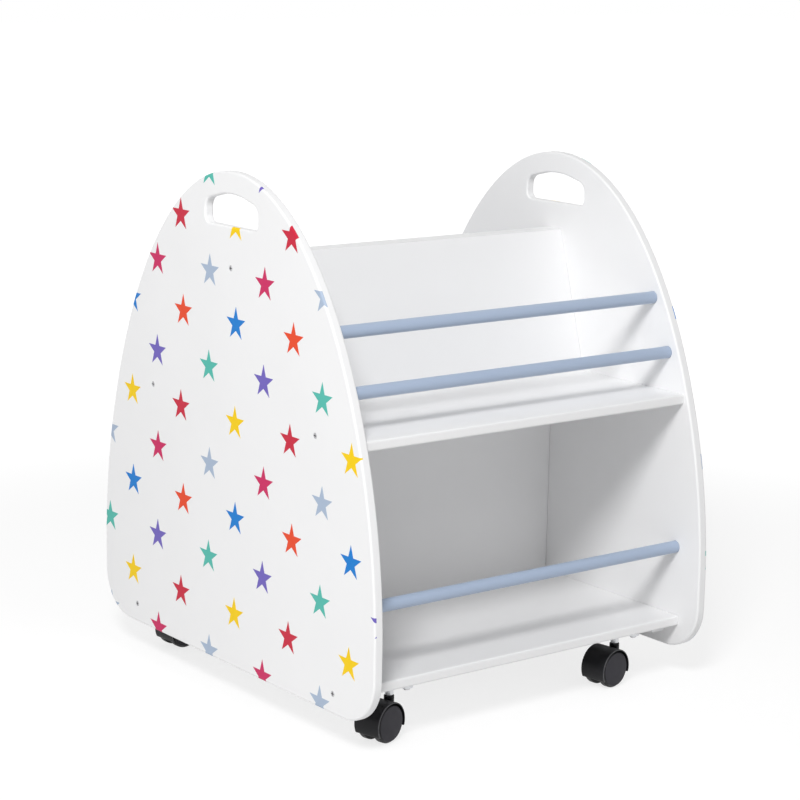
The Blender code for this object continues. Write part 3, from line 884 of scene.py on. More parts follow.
class Finishes:
    """Every finish of the bookcase, built once."""

    def __init__(self) -> None:
        """Build the materials."""
        groups = SurfaceGroups()
        self.board = Finish(
            "board_paint", (0.90, 0.90, 0.905), (0.40, 0.50), (0.875, 0.875, 0.88),
            grain=0.0012, cloud=0.09, bump=0.06,
        ).build(groups)
        self.rod = Finish(
            "rod_paint", (0.40, 0.485, 0.63), (0.34, 0.46), (0.37, 0.455, 0.60),
            grain=0.0008, cloud=0.03, stretch=0.15, bump=0.08,
        ).build(groups)
        self.hood = Finish(
            "hood_plastic", (0.006, 0.006, 0.008), (0.30, 0.42), (0.010, 0.010, 0.012),
            specular=0.2, grain=0.0005, cloud=0.012, bump=0.14, dust=0.02,
        ).build(groups)
        # Hood rims: the lighter base colour is a painted highlight; the higher specular gives real
        # reflection.
        self.rim = Finish(
            "rim_plastic", (0.034, 0.034, 0.040), (0.22, 0.34), (0.044, 0.044, 0.050),
            specular=0.6, grain=0.0004, cloud=0.010, bump=0.08, dust=0.02,
        ).build(groups)
        self.disc = Finish(
            "disc_plastic", (0.028, 0.027, 0.034), (0.40, 0.55), (0.036, 0.034, 0.042),
            specular=0.2, grain=0.0004, cloud=0.010, bump=0.12, dust=0.02,
        ).build(groups)
        self.tread = Finish(
            "tread_plastic", (0.012, 0.012, 0.014), (0.38, 0.55), (0.018, 0.018, 0.020),
            specular=0.25, grain=0.0004, cloud=0.006, bump=0.16, dust=0.02,
        ).build(groups)
        self.zinc = Finish(
            "zinc_steel", (0.70, 0.71, 0.73), (0.30, 0.46), (0.63, 0.64, 0.66), metallic=1.0,
            grain=0.0004, cloud=0.004, bump=0.05,
        ).build(groups)
        self.screw = Finish(
            "screw_steel", (0.60, 0.60, 0.61), (0.24, 0.36), (0.54, 0.54, 0.56), metallic=1.0,
            grain=0.0003, cloud=0.003, bump=0.04,
        ).build(groups)
        # Dark colour for the panel screws' driver recesses: painted shade.
        self.recess = Finish(
            "recess_steel", (0.10, 0.10, 0.105), (0.45, 0.60), (0.07, 0.07, 0.075), metallic=1.0,
            grain=0.0003, cloud=0.003, bump=0.04,
        ).build(groups)
        self.inks = {
            ink: Finish(
                f"ink_{ink.name.lower()}", srgb(*ink.value[0]), (0.38, 0.48),
                specular=0.2, grain=0.0012, cloud=0.09, bump=0.06,
            ).build(groups)
            for ink in Ink
        }


@dataclass(frozen=True)
class PanelShape:
    """Sizes of the arched end panels; heights above the panel's foot."""

    length: float = 0.500
    board: float = 0.012
    foot: float = 0.0415
    height: float = 0.585
    half_depth: float = 0.286
    shoulder: float = 0.096
    exponent: float = 1.84
    corner: float = 0.055
    arris: float = 0.0025
    corner_steps: int = 16
    arch_steps: int = 90

    @property
    def face(self) -> float:
        """Distance from the middle to a panel's outer face."""
        return self.length / 2

    @property
    def inner(self) -> float:
        """Distance from the middle to a panel's inner face."""
        return self.length / 2 - self.board

    def half_width(self, height: float) -> float:
        """Work out half the panel's depth.

        Args:
            height: height above its foot.

        Returns:
            The half depth there.
        """
        rise = max(height - self.shoulder, 0.0) / (self.height - self.shoulder)
        width = self.half_depth * math.sqrt(1.0 - rise**self.exponent)
        below = max(self.corner - height, 0.0)
        return width - self.corner + math.sqrt(self.corner**2 - below**2)

    def outline(self) -> list[Point]:
        """Draw the panel.

        Returns:
            Points as (depth, height above the foot), anticlockwise.
        """
        centre = (self.half_depth - self.corner, self.corner)
        side = arc(centre, self.corner, -math.pi / 2, 0.0, self.corner_steps)
        for step in range(self.arch_steps):
            angle = math.pi / 2 * step / self.arch_steps
            rise = math.sin(angle) ** (2.0 / self.exponent)
            height = self.shoulder + (self.height - self.shoulder) * rise
            side.append((self.half_depth * math.cos(angle), height))
        mirrored = [(-depth, height) for depth, height in reversed(side)]
        return side + [(0.0, self.height)] + mirrored


@dataclass(frozen=True)
class Grip:
    """Hand hole of an end panel."""

    foot: float = 0.522
    half_width: float = 0.054
    side: float = 0.0272
    crown: float = 0.0404
    lower_radius: float = 0.009
    upper_radius: float = 0.014
    crown_radius: float = 0.120
    corner_steps: int = 10

    def outline(self) -> list[Point]:
        """Draw the hole, its foot at y = 0.

        Returns:
            Points of the outline, anticlockwise.
        """
        return rounded([
            (-self.half_width, 0.0, self.lower_radius),
            (self.half_width, 0.0, self.lower_radius),
            (self.half_width, self.side, self.upper_radius),
            (0.0, self.crown, self.crown_radius),
            (-self.half_width, self.side, self.upper_radius),
        ], self.corner_steps)


@dataclass(frozen=True)
class StarPrint:
    """Print of small stars on the outer face of an end panel, wrapped a little way round its edge."""

    column_pitch: float = 0.05714
    row_pitch: float = 0.11484
    first_depth: float = 0.2756
    first_height: float = 0.7546
    outer_radius: float = 0.0203
    inner_ratio: float = 0.382
    skin: float = 0.00012
    overlap: float = 0.0010
    wrap: float = 0.0025
    columns: int = 3
    rows: int = 4
    column_step: int = 4
    row_step: int = 2

    def middle(self, ink: Ink) -> Vector:
        """Find the middle of an ink's grid.

        Args:
            ink: the ink.

        Returns:
            Depth, height above the panel's foot, and the stars' underside.
        """
        _, column, row, offset = ink.value
        last_column = column + self.column_step * (self.columns - 1)
        last_row = row + self.row_step * (self.rows - 1)
        depth = self.first_depth - self.column_pitch * (column + last_column) / 2
        height = self.first_height - self.row_pitch * (row + last_row) / 2
        return Vector((depth + offset[0] * MM, height + offset[1] * MM, -self.overlap))

    def build(
        self, tree: GeometryTree, board: bpy.types.Object, inks: dict[Ink, bpy.types.Material]
    ) -> bpy.types.Mesh:
        """Print all inks.

        Args:
            tree: star printing tree.
            board: body in X and Y that the stars are cut off by, its printed face at z = 0.
            inks: material of each ink.

        Returns:
            One mesh in X and Y with an ink's index on each star.
        """
        layers = []
        for index, (ink, material) in enumerate(inks.items()):
            layer = tree.run(f"stars_{ink.name.lower()}", {
                "Board": board,
                "Columns": self.columns,
                "Rows": self.rows,
                "Width": self.column_pitch * self.column_step * (self.columns - 1),
                "Height": self.row_pitch * self.row_step * (self.rows - 1),
                "Middle": self.middle(ink),
                "Outer Radius": self.outer_radius,
                "Inner Radius": self.outer_radius * self.inner_ratio,
                "Thickness": self.overlap + self.wrap,
                "Material": material,
            })
            for polygon in layer.polygons:
                polygon.material_index = index
            LOG.info("ink %s: %d faces", ink.name, len(layer.polygons))
            layers.append(layer)
        return joined(layers, "star_print")


@dataclass(frozen=True)
class RodSeat:
    """Where a pair of guard rods sits: height above the panel's foot and inset from its edge."""

    name: str
    height: float
    inset: float


@dataclass
class EndPanels:
    """Both arched end panels with their hand holes and star prints."""

    shape: PanelShape
    grip: Grip = field(default_factory=Grip)
    stars: StarPrint = field(default_factory=StarPrint)
    round_steps: int = 5

    def build(
        self, finishes: Finishes, rods: "GuardRods", screws: "PanelScrews", tree: GeometryTree
    ) -> None:
        """Build and dress the panels.

        Args:
            finishes: materials.
            rods: rods whose bores are sunk in the inner faces.
            screws: screws whose heads are sunk in the outer faces.
            tree: star printing tree.
        """
        shape = self.shape
        board = self._board(0.0)
        guide = new_object("print_guide", self._board(self.stars.skin))
        guide.data.transform(move(z=shape.board / 2))
        layers = self.stars.build(tree, guide, finishes.inks)
        bpy.data.objects.remove(guide)
        bore_middle = shape.inner + (rods.seat - rods.over) / 2
        for side, name in ((-1, "left"), (1, "right")):
            place = move(x=side * (shape.face - shape.board / 2), z=shape.foot) @ SECTION
            panel = Solid(board.copy(), place)
            for y, z in rods.places():
                panel.cut(rods.bore(), move(x=side * bore_middle, y=y, z=z) @ Z_TO_X)
            for y, z in screws.places():
                turn = Z_TO_X if side > 0 else Z_TO_X.inverted()
                panel.cut(screws.sink(), move(x=side * shape.face, y=y, z=z) @ turn)
            put(f"panel_{name}", panel.finish(), [finishes.board], [f"end_panel_{name}"])
            stars = layers.copy()
            turn = Matrix.Rotation(math.pi if side > 0 else 0.0, 4, "Z")
            stars.transform(turn @ move(x=-shape.face, z=shape.foot) @ SECTION)
            put(f"star_print_{name}", stars, list(finishes.inks.values()), [])

    def _board(self, growth: float) -> bpy.types.Mesh:
        """Make a rounded board with its hand hole in X and Y.

        Args:
            growth: how much larger it is all round.

        Returns:
            The mesh.
        """
        shape = self.shape
        slab = flat_slab(inset(shape.outline(), -growth), shape.board + 2 * growth)
        hole = flat_slab(inset(self.grip.outline(), growth), 3 * shape.board)
        panel = Solid(slab).cut(hole, move(y=self.grip.foot))
        return panel.round_edges(shape.arris + growth, self.round_steps).finish()


@dataclass
class GuardRods:
    """Six painted rods from panel to panel."""

    shape: PanelShape
    radius: float = 0.0074
    seat: float = 0.006
    gap: float = 0.0003
    over: float = 0.002
    facets: int = 64
    seats: tuple[RodSeat, ...] = (
        RodSeat("upper", 0.4260, 0.0195),
        RodSeat("second", 0.3631, 0.0195),
        RodSeat("lower", 0.1267, 0.0425),
    )

    def places(self) -> list[Point]:
        """Find each rod's axis.

        Returns:
            Depth and height of each.
        """
        found = []
        for seat in self.seats:
            depth = self.shape.half_width(seat.height) - seat.inset
            found += [(side * depth, self.shape.foot + seat.height) for side in (-1, 1)]
        return found

    def bore(self) -> bpy.types.Mesh:
        """Cutter of a blind bore along Z, a little longer than the seat."""
        return cylinder(self.radius + self.gap, self.seat + self.over, self.facets)

    def build(self, finishes: Finishes, tree: GeometryTree) -> None:
        """Sweep the rods and paint them.

        Args:
            finishes: materials.
            tree: rod sweeping tree.
        """
        reach = self.shape.inner + self.seat - self.gap
        places = places_object("rod_places", [(0.0, y, z) for y, z in self.places()])
        mesh = tree.run("guard_rods", {
            "Places": places,
            "Radius": self.radius,
            "Start": (-reach, 0.0, 0.0),
            "End": (reach, 0.0, 0.0),
            "Facets": self.facets,
            "Material": finishes.rod,
        })
        bpy.data.objects.remove(places)
        with edited(mesh) as work:
            bmesh.ops.recalc_face_normals(work, faces=work.faces)
        nodes = [f"rod_{seat.name}_{depth}" for seat in self.seats for depth in ("front", "back")]
        put("guard_rods", settle(mesh), [finishes.rod], nodes)


@dataclass
class Boards:
    """Shelves, divider, display boards, ridge rail and cleats."""

    shape: PanelShape
    gap: float = 0.0003
    bottom_underside: float = 0.0296
    bottom_setback: float = 0.0325
    middle_underside: float = 0.3042
    middle_setback: float = 0.0045
    display_thickness: float = 0.008
    display_foot: float = 0.061
    display_top: float = 0.00975
    housing: float = 0.003
    rail_centre: float = 0.4742
    rail_height: float = 0.030
    cleat_width: float = 0.020
    cleat_inset: float = 0.056
    small_arris: float = 0.001
    nose_steps: int = 8
    arris_steps: int = 5
    round_steps: int = 3

    @property
    def middle_top(self) -> float:
        """Height of the middle shelf's top over the floor."""
        return self.shape.foot + self.middle_underside + self.shape.board

    @property
    def rail_top(self) -> float:
        """Height of the ridge over the floor."""
        return self.shape.foot + self.rail_centre + self.rail_height / 2

    @property
    def display_lean(self) -> float:
        """Lean of the display boards from upright."""
        return math.atan((self.display_foot - self.display_top) / (self.rail_top - self.middle_top))

    @property
    def middle_half(self) -> float:
        """Half the depth of the middle shelf."""
        return self.shape.half_width(self.middle_underside + self.shape.board) - self.middle_setback

    @property
    def cleat_half(self) -> float:
        """Half the length of a cleat."""
        return self.shape.half_depth - self.cleat_inset

    def shelf(
        self, half_depth: float, underside: float, under: list[Point], over: list[Point]
    ) -> list[Point]:
        """Section of a shelf.

        Args:
            half_depth: half its depth.
            underside: height of its underside.
            under: first and last depth of each housing in the underside.
            over: first and last depth of each housing in the top.

        Returns:
            The outline, rounded at the front and back.
        """
        top = underside + self.shape.board
        radius = self.shape.arris
        corners = [(-half_depth, underside, radius)]
        for first, last in under:
            floor = underside + self.housing
            corners += [(first, underside, 0), (first, floor, 0), (last, floor, 0), (last, underside, 0)]
        corners += [(half_depth, underside, radius), (half_depth, top, radius)]
        for first, last in reversed(over):
            floor = top - self.housing
            corners += [(last, top, 0), (last, floor, 0), (first, floor, 0), (first, top, 0)]
        corners.append((-half_depth, top, radius))
        return rounded(corners, self.nose_steps)

    def lean(self, height: float) -> float:
        """Depth of a display board's middle plane at a height."""
        return self.display_foot - (height - self.middle_top) * math.tan(self.display_lean)

    def display(self, side: int) -> list[Point]:
        """Draw the section of a leaning display board.

        Args:
            side: -1 for the front board, 1 for the back one.

        Returns:
            Points as (depth, height), anticlockwise.
        """
        half = self.display_thickness / 2 / math.cos(self.display_lean)
        foot = self.middle_top - self.housing + self.gap
        corners = [
            (self.lean(foot) - half, foot),
            (self.lean(foot) + half, foot),
            (self.lean(self.rail_top) + half, self.rail_top),
            (self.lean(self.rail_top) - half, self.rail_top),
        ]
        if side < 0:
            corners = [(-depth, height) for depth, height in reversed(corners)]
        return rounded([(*corner, self.small_arris) for corner in corners], self.arris_steps)

    def rail(self) -> list[Point]:
        """Draw the section of the ridge rail between the display boards.

        Returns:
            Points as (depth, height), anticlockwise.
        """
        inner = (self.display_thickness / 2 + self.gap) / math.cos(self.display_lean)
        foot = self.rail_top - self.rail_height
        return rounded([
            (-self.lean(foot) + inner, foot, self.small_arris),
            (self.lean(foot) - inner, foot, self.small_arris),
            (self.lean(self.rail_top) - inner, self.rail_top, self.small_arris),
            (-self.lean(self.rail_top) + inner, self.rail_top, self.small_arris),
        ], self.arris_steps)

    def build(self, finishes: Finishes) -> None:
        """Build and paint the boards.

        Args:
            finishes: materials.
        """
        shape = self.shape
        fit = 2 * (shape.inner - self.gap)
        bottom_half = shape.half_depth - self.bottom_setback
        bottom = shape.foot + self.bottom_underside
        middle = shape.foot + self.middle_underside
        under_divider = (-shape.board / 2 - self.gap, shape.board / 2 + self.gap)
        half = self.display_thickness / 2 / math.cos(self.display_lean) + self.gap
        near = self.lean(self.middle_top) - half
        far = self.lean(self.middle_top - self.housing) + half
        over = [(-far, -near), (near, far)]
        sections = {
            "bottom_shelf": self.shelf(bottom_half, bottom, [], [under_divider]),
            "middle_shelf": self.shelf(self.middle_half, middle, [under_divider], over),
            "display_board_front": self.display(-1),
            "display_board_back": self.display(1),
            "ridge_rail": self.rail(),
        }
        for name, section in sections.items():
            mesh = Solid(flat_slab(section, fit), SECTION).finish()
            put(f"{name}_board", mesh, [finishes.board], [name])
        floor = bottom + shape.board
        space = middle - floor
        height = space + 2 * (self.housing - self.gap)
        divider = Solid(box((fit, shape.board, height)), move(z=floor + space / 2))
        divider.round_edges(self.small_arris / 2, self.round_steps)
        put("divider_board", divider.finish(), [finishes.board], ["divider"])
        for side, name in ((-1, "left"), (1, "right")):
            x = side * (shape.inner - self.gap - self.cleat_width / 2)
            size = (self.cleat_width, 2 * self.cleat_half, shape.board)
            cleat = Solid(box(size), move(x=x, z=bottom - self.gap - shape.board / 2))
            cleat.round_edges(self.small_arris, self.round_steps)
            put(f"cleat_{name}_board", cleat.finish(), [finishes.board], [f"cleat_{name}"])


@dataclass(frozen=True)
class Recess:
    """Cross-shaped driver recess of a screw head."""

    span: float
    width: float
    depth: float

    def cutter(self) -> bpy.types.Mesh:
        """Make the cutter, sunk below z = 0.

        Returns:
            The mesh.
        """
        sizes = ((self.span, self.width), (self.width, self.span))
        bar, cross = (box((*size, 2 * self.depth)) for size in sizes)
        return Solid(bar).join(cross).finish()


@dataclass
class PanelScrews:
    """Countersunk screws through the end panels."""

    shape: PanelShape
    boards: Boards
    length: float = 0.030
    radius: float = 0.002
    head_radius: float = 0.0035
    head_depth: float = 0.0022
    head_edge: float = 0.0002
    recess: Recess = Recess(0.0046, 0.0011, 0.0013)
    over: float = 0.002
    gap: float = 0.0003
    shelf_inset: float = 0.0762
    cleat_inset: float = 0.0207
    # Depth range of the recess faces that take the painted shade.
    sunk_from: float = 0.0002
    sunk_slack: float = 0.0001
    square: float = 0.1
    facets: int = 40
    ends: tuple[str, ...] = ("ridge", "shelf_front", "shelf_back", "cleat_front", "cleat_back")

    def places(self) -> list[Point]:
        """Find each screw in a panel.

        Returns:
            Depth and height of each.
        """
        foot = self.shape.foot
        shelf_z = foot + self.boards.middle_underside + self.shape.board / 2
        cleat_z = foot + self.boards.bottom_underside - self.boards.gap - self.shape.board / 2
        shelf_y = self.boards.middle_half - self.shelf_inset
        cleat_y = self.boards.cleat_half - self.cleat_inset
        found = [(0.0, foot + self.boards.rail_centre)]
        for side in (-1, 1):
            found += [(side * shelf_y, shelf_z), (side * cleat_y, cleat_z)]
        return found

    def sink(self) -> bpy.types.Mesh:
        """Make the cutter of the hole and its countersink, along -Z from just above z = 0.

        Returns:
            The mesh.
        """
        flare = self.over * (self.head_radius - self.radius) / self.head_depth
        foot = -1.5 * self.shape.board
        return turned([
            (0.0, self.over),
            (self.head_radius + self.gap + flare, self.over),
            (self.radius + self.gap, -self.head_depth),
            (self.radius + self.gap, foot),
            (0.0, foot),
        ], self.facets)

    def screw(self) -> bpy.types.Mesh:
        """Make one screw, head up at z = 0, with its driver recess.

        Returns:
            The mesh.
        """
        blank = turned([
            (0.0, 0.0),
            (self.head_radius - self.head_edge, 0.0),
            (self.head_radius, -self.head_edge),
            (self.radius, -self.head_depth),
            (self.radius, -self.length + self.radius),
            (0.0, -self.length),
        ], self.facets)
        return Solid(blank).cut(self.recess.cutter()).finish()

    def _takes_painted_shade(self, polygon: bpy.types.MeshPolygon) -> bool:
        """Tell whether a face is a wall or the floor of a driver recess, where the shade is painted.

        Args:
            polygon: the face.

        Returns:
            True if it is.
        """
        depth = self.shape.face - abs(polygon.center.x)
        sloping = self.square < abs(polygon.normal.x) < 1.0 - self.square
        return not sloping and self.sunk_from < depth < self.recess.depth + self.sunk_slack

    def build(self, finishes: Finishes, tree: GeometryTree) -> None:
        """Set a screw at every place of both panels.

        Args:
            finishes: materials.
            tree: tree that sets out copies.
        """
        screw = self.screw()
        sides, nodes = [], []
        for side, name in ((-1, "left"), (1, "right")):
            places = [(side * self.shape.face, y, z) for y, z in self.places()]
            turn = (0.0, side * math.pi / 2, 0.0)
            sides.append(set_out(tree, "panel_screws", screw, places, turn, finishes.screw))
            nodes += [f"screw_{name}_{end}" for end in self.ends]
        # Recess faces take the dark recess finish: painted shade.
        mesh = mark(settle(joined(sides, "panel_screws")), self._takes_painted_shade)
        put("panel_screws", mesh, [finishes.screw, finishes.recess], nodes)


def dress_node(node: str, material: bpy.types.Material) -> None:
    """Give a carried-over CAD node its finish.

    Args:
        node: name of the node.
        material: the finish.
    """
    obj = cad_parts[node]
    for slot in obj.material_slots:
        slot.material = material
    LOG.info("%s keeps its CAD shape", node)


@dataclass(frozen=True)
class Corner:
    """Corner with a castor: depth and side as -1 or 1, and the castor's turn at rest in degrees."""

    depth: int
    side: int
    turn: float

    @property
    def name(self) -> str:
        """Name of the castor."""
        depth = "front" if self.depth < 0 else "back"
        return f"castor_{depth}_{'left' if self.side < 0 else 'right'}"


@dataclass
class Castors:
    """Four twin-wheel castors: flange, sleeve and pin fixed, hood and wheels turning.

    Contours are in mm, out and up from the edge that each one softens; the screw head's is in
    shares of its radius and height, from the rim to the crown.
    """

    shape: PanelShape
    boards: Boards
    x: float = 0.1725
    edge_inset: float = 0.042
    trail: float = 0.0165
    wheel_radius: float = 0.023
    wheel_width: float = 0.011
    wheel_recess: float = 0.007
    wheel_rim: float = 0.0036
    wheel_round: float = 0.0013
    tread_edge: Contour = ((-0.5, -3.2), (-0.1, -3.9), (0.0, -4.6))
    hub_radius: float = 0.0065
    hub_bore: float = 0.008
    disc_radius: float = 0.0206
    disc_crown: float = 0.0005
    disc_depth: float = 0.0009
    disc_bend: float = math.radians(38)
    disc_edge: Contour = ((-0.3, -0.5), (0.0, -0.8), (0.5, -1.7), (1.2, -2.5))
    web: float = 0.012
    side_gap: float = 0.0005
    clearance: float = 0.0006
    fender: float = 0.0013
    fender_width: float = 0.035
    fender_arris: float = 0.0008
    fender_bend: float = math.radians(60)
    # Width of the band at each side of the hood that takes the painted highlight.
    highlight_rim_depth: float = 0.0010
    leading: float = math.radians(-17)
    trailing: float = math.radians(208)
    axle_radius: float = 0.003
    boss_radius: float = 0.006
    boss_top: float = 0.0496
    boss_foot: float = 0.030
    boss_lip: Contour = ((-0.6, 0.0), (-0.1, -0.3), (0.0, -0.8))
    groove_height: float = 0.0473
    groove: Contour = ((0.0, 0.5), (-0.3, 0.3), (-0.7, 0.3))
    pin_radius: float = 0.0035
    pin_gap: float = 0.0004
    bore_foot: float = 0.0295
    sleeve_radius: float = 0.005
    sleeve_gap: float = 0.0006
    sleeve_collar: Contour = ((1.6, 0.0), (0.4, -0.4), (0.0, -1.6))
    sleeve_end: Contour = ((0.0, 0.4), (-0.4, 0.0))
    flange_thickness: float = 0.003
    flange_arris: float = 0.0004
    flange_radius: float = 0.019
    flange_end_radius: float = 0.007
    hole_spread: float = 0.0325
    screw_radius: float = 0.0018
    screw_point: float = 0.002
    screw_head_radius: float = 0.004
    screw_head_height: float = 0.0026
    screw_head: Contour = (
        (1.0, 0.0), (1.0, 0.45), (0.93, 0.75), (0.76, 0.94), (0.55, 1.0), (0.0, 1.0),
    )
    screw_length: float = 0.011
    screw_turn: float = math.radians(20)
    recess: Recess = Recess(0.0044, 0.0010, 0.0014)
    over: float = 0.002
    gap: float = 0.0003
    facets: int = 96
    crown_steps: int = 10
    round_steps: int = 5
    arch_steps: int = 72
    fender_steps: int = 3
    boss_facets: int = 48
    bore_facets: int = 32
    hole_facets: int = 24
    screw_facets: int = 32
    flange_steps: int = 12
    flange_end_steps: int = 20
    flange_arris_steps: int = 2
    corners: tuple[Corner, ...] = (
        Corner(-1, -1, 15.5),
        Corner(-1, 1, 9.0),
        Corner(1, -1, 6.0),
        Corner(1, 1, 0.0),
    )

    @property
    def flange_top(self) -> float:
        """Height of the flange's upper face."""
        return self.shape.foot + self.boards.bottom_underside - self.gap

    @property
    def flange_foot(self) -> float:
        """Height of the flange's lower face."""
        return self.flange_top - self.flange_thickness

    def wheel_mesh(self) -> bpy.types.Mesh:
        """Make a wheel along Z, its hollow inner side at z = 0.

        Returns:
            The mesh, its crowned disc in the second material.
        """
        width, disc, tread = self.wheel_width, self.disc_radius, self.wheel_radius
        bore = self.axle_radius + self.gap
        shares = [step / self.crown_steps for step in range(self.crown_steps)]
        crown = [(disc * share, width - self.disc_crown * share**2) for share in shares]
        outside = contour((disc, width), self.disc_edge) + contour((tread, width), self.tread_edge)
        middle = (tread - self.wheel_round, self.wheel_round)
        inside = arc(middle, self.wheel_round, 0.0, -math.pi / 2, self.round_steps)
        profile = crown + outside + inside + [
            (tread - self.wheel_rim, 0.0),
            (tread - self.wheel_rim, self.wheel_recess),
            (self.hub_radius, self.wheel_recess),
            (self.hub_radius, 0.0),
            (bore, 0.0),
            (bore, self.hub_bore),
            (0.0, self.hub_bore),
        ]
        mesh = settle(turned(profile, self.facets), self.disc_bend)
        return mark(mesh, lambda polygon: polygon.center.z > width - self.disc_depth)

    def hood_mesh(self) -> bpy.types.Mesh:
        """Make a hood with the swivel axis through the origin and the axle behind it.

        Returns:
            The mesh, its rims in the second material, which paints a highlight on them.
        """
        inner = self.wheel_radius + self.clearance
        centre = (-self.trail, self.wheel_radius)
        arch = arc(centre, inner + self.fender, self.leading, self.trailing, self.arch_steps)
        hood = Solid(flat_slab(arch, self.fender_width), UPRIGHT)
        hood.round_edges(self.fender_arris, self.fender_steps, self.fender_bend)
        hood.join(turned(self.boss_profile(), self.boss_facets))
        axle = move(x=-self.trail, z=self.wheel_radius) @ UPRIGHT
        depth = (self.fender_width - self.web) / 2 + self.over
        for side in (-1, 1):
            place = move(y=side * (self.web + depth) / 2) @ axle
            hood.cut(cylinder(inner, depth, self.facets), place)
        length = self.web + 2 * self.over
        hood.cut(cylinder(self.axle_radius + self.gap, length, self.bore_facets), axle)
        length = self.boss_top - self.bore_foot + self.over
        bore = cylinder(self.pin_radius + self.pin_gap, length, self.bore_facets)
        hood.cut(bore, move(z=self.bore_foot + length / 2))
        # Faces near the hood's sides take the rim finish: a painted highlight.
        edge = self.fender_width / 2 - self.highlight_rim_depth
        return mark(hood.finish(), lambda polygon: abs(polygon.center.y) > edge)

    def boss_profile(self) -> list[Point]:
        """Draw the neck of the hood with its rounded lip and its groove.

        Returns:
            (radius, height) points from the top down.
        """
        radius, middle = self.boss_radius, (self.boss_radius, self.groove_height)
        lip = contour((radius, self.boss_top), self.boss_lip)
        groove = contour(middle, self.groove) + contour(middle, self.groove[::-1], -1)
        foot = [(radius, self.boss_foot), (0.0, self.boss_foot)]
        return [(0.0, self.boss_top), *lip, *groove, *foot]

    def flange_mesh(self) -> bpy.types.Mesh:
        """Make a fixed flange with its sleeve, the swivel axis through the origin.

        Returns:
            The mesh.
        """
        radius, end_radius = self.flange_radius, self.flange_end_radius
        slope = math.asin((radius - end_radius) / self.hole_spread)
        outline = []
        for side, turn in ((1, 0.0), (-1, math.pi)):
            end = (0.0, side * self.hole_spread)
            start, stop = turn + slope, turn + math.pi - slope
            outline += arc((0.0, 0.0), radius, turn - slope, start, self.flange_steps)
            outline += arc(end, end_radius, start, stop, self.flange_end_steps)
        middle = self.flange_top - self.flange_thickness / 2
        flange = Solid(flat_slab(outline, self.flange_thickness), move(z=middle))
        flange.round_edges(self.flange_arris, self.flange_arris_steps)
        foot = self.boss_top + self.sleeve_gap
        collar = contour((self.sleeve_radius, self.flange_foot), self.sleeve_collar)
        end = contour((self.sleeve_radius, foot), self.sleeve_end)
        sleeve = [(0.0, middle), (collar[0][0], middle), *collar, *end, (0.0, foot)]
        flange.join(turned(sleeve, self.boss_facets))
        flange.cut(cylinder(self.pin_radius + self.gap, 2 * self.flange_top, self.bore_facets))
        length = 3 * self.flange_thickness
        for side in (-1, 1):
            hole = cylinder(self.screw_radius + self.gap, length, self.hole_facets)
            flange.cut(hole, move(y=side * self.hole_spread, z=middle))
        return flange.finish()

    def screw_mesh(self) -> bpy.types.Mesh:
        """Make a pan-head screw, point up, head under z = 0.

        Returns:
            The mesh.
        """
        head, drop = self.screw_head_radius, self.screw_head_height
        shank = [
            (0.0, self.screw_length),
            (self.screw_radius, self.screw_length - self.screw_point),
            (self.screw_radius, 0.0),
        ]
        crown = [(out * head, -down * drop) for out, down in self.screw_head]
        blank = turned(shank + crown, self.screw_facets)
        return Solid(blank).cut(self.recess.cutter(), move(z=-drop)).finish()

    def build(self, finishes: Finishes, tree: GeometryTree) -> None:
        """Build, place and dress all castors.

        Args:
            finishes: materials.
            tree: tree that sets out copies.
        """
        wheel, hood, flange = self.wheel_mesh(), self.hood_mesh(), self.flange_mesh()
        half_depth = self.shape.half_depth - self.boards.bottom_setback - self.edge_inset
        spots, screws = [], []
        for corner in self.corners:
            name, x, y = corner.name, corner.side * self.x, corner.depth * half_depth
            swivel = move(x=x, y=y) @ Matrix.Rotation(math.radians(corner.turn), 4, "Z")
            fixed, cover = flange.copy(), hood.copy()
            fixed.transform(move(x=x, y=y))
            cover.transform(swivel)
            put(f"{name}_mounting", fixed, [finishes.zinc], [f"{name}_flange"])
            # The cover's second finish paints a highlight on the hood's rims.
            plastics = [finishes.hood, finishes.rim]
            put(f"{name}_cover", cover, plastics, [f"{name}_hood"], name)
            for way, end in ((-1, "front"), (1, "back")):
                lie = UPRIGHT if way < 0 else UPRIGHT.inverted()
                out = way * (self.web / 2 + self.side_gap)
                copy = wheel.copy()
                copy.transform(swivel @ move(x=-self.trail, y=out, z=self.wheel_radius) @ lie)
                node = f"{name}_wheel_{end}"
                plastics = [finishes.tread, finishes.disc]
                put(f"{node}_disc", copy, plastics, [node], node)
                spots.append((x, y + way * self.hole_spread, self.flange_foot - self.gap))
                screws.append(f"{name}_screw_{end}")
            for part in ("pin", "axle"):
                dress_node(f"{name}_{part}", finishes.zinc)
        turn = (0.0, 0.0, self.screw_turn)
        mesh = settle(set_out(tree, "flange_screws", self.screw_mesh(), spots, turn, finishes.screw))
        put("flange_screws", mesh, [finishes.screw], screws)


@dataclass(frozen=True)
class Viewpoint:
    """Camera of the photograph, solved from it."""

    place: Place = (-1.6971, -2.2069, 0.9123)
    azimuth: float = math.radians(-37.523)
    elevation: float = math.radians(11.7325)
    roll: float = math.radians(1.0808)
    lens: float = 104.604
    sensor: float = 36.0
    clip: tuple[float, float] = (0.1, 50.0)

    def build(self) -> None:
        """Set the scene's camera."""
        data = bpy.data.cameras.new("photo_camera")
        data.lens = self.lens
        data.sensor_width = self.sensor
        data.clip_start, data.clip_end = self.clip
        camera = new_object("photo_camera", data)
        az, el = self.azimuth, self.elevation
        back = Vector((math.sin(az) * math.cos(el), -math.cos(az) * math.cos(el), math.sin(el)))
        level = Vector((math.cos(az), math.sin(az), 0.0))
        above = back.cross(level)
        right = level * math.cos(self.roll) + above * math.sin(self.roll)
        up = above * math.cos(self.roll) - level * math.sin(self.roll)
        turn = Matrix((right, up, back)).transposed().to_4x4()
        camera.matrix_world = Matrix.Translation(self.place) @ turn
        bpy.context.scene.camera = camera


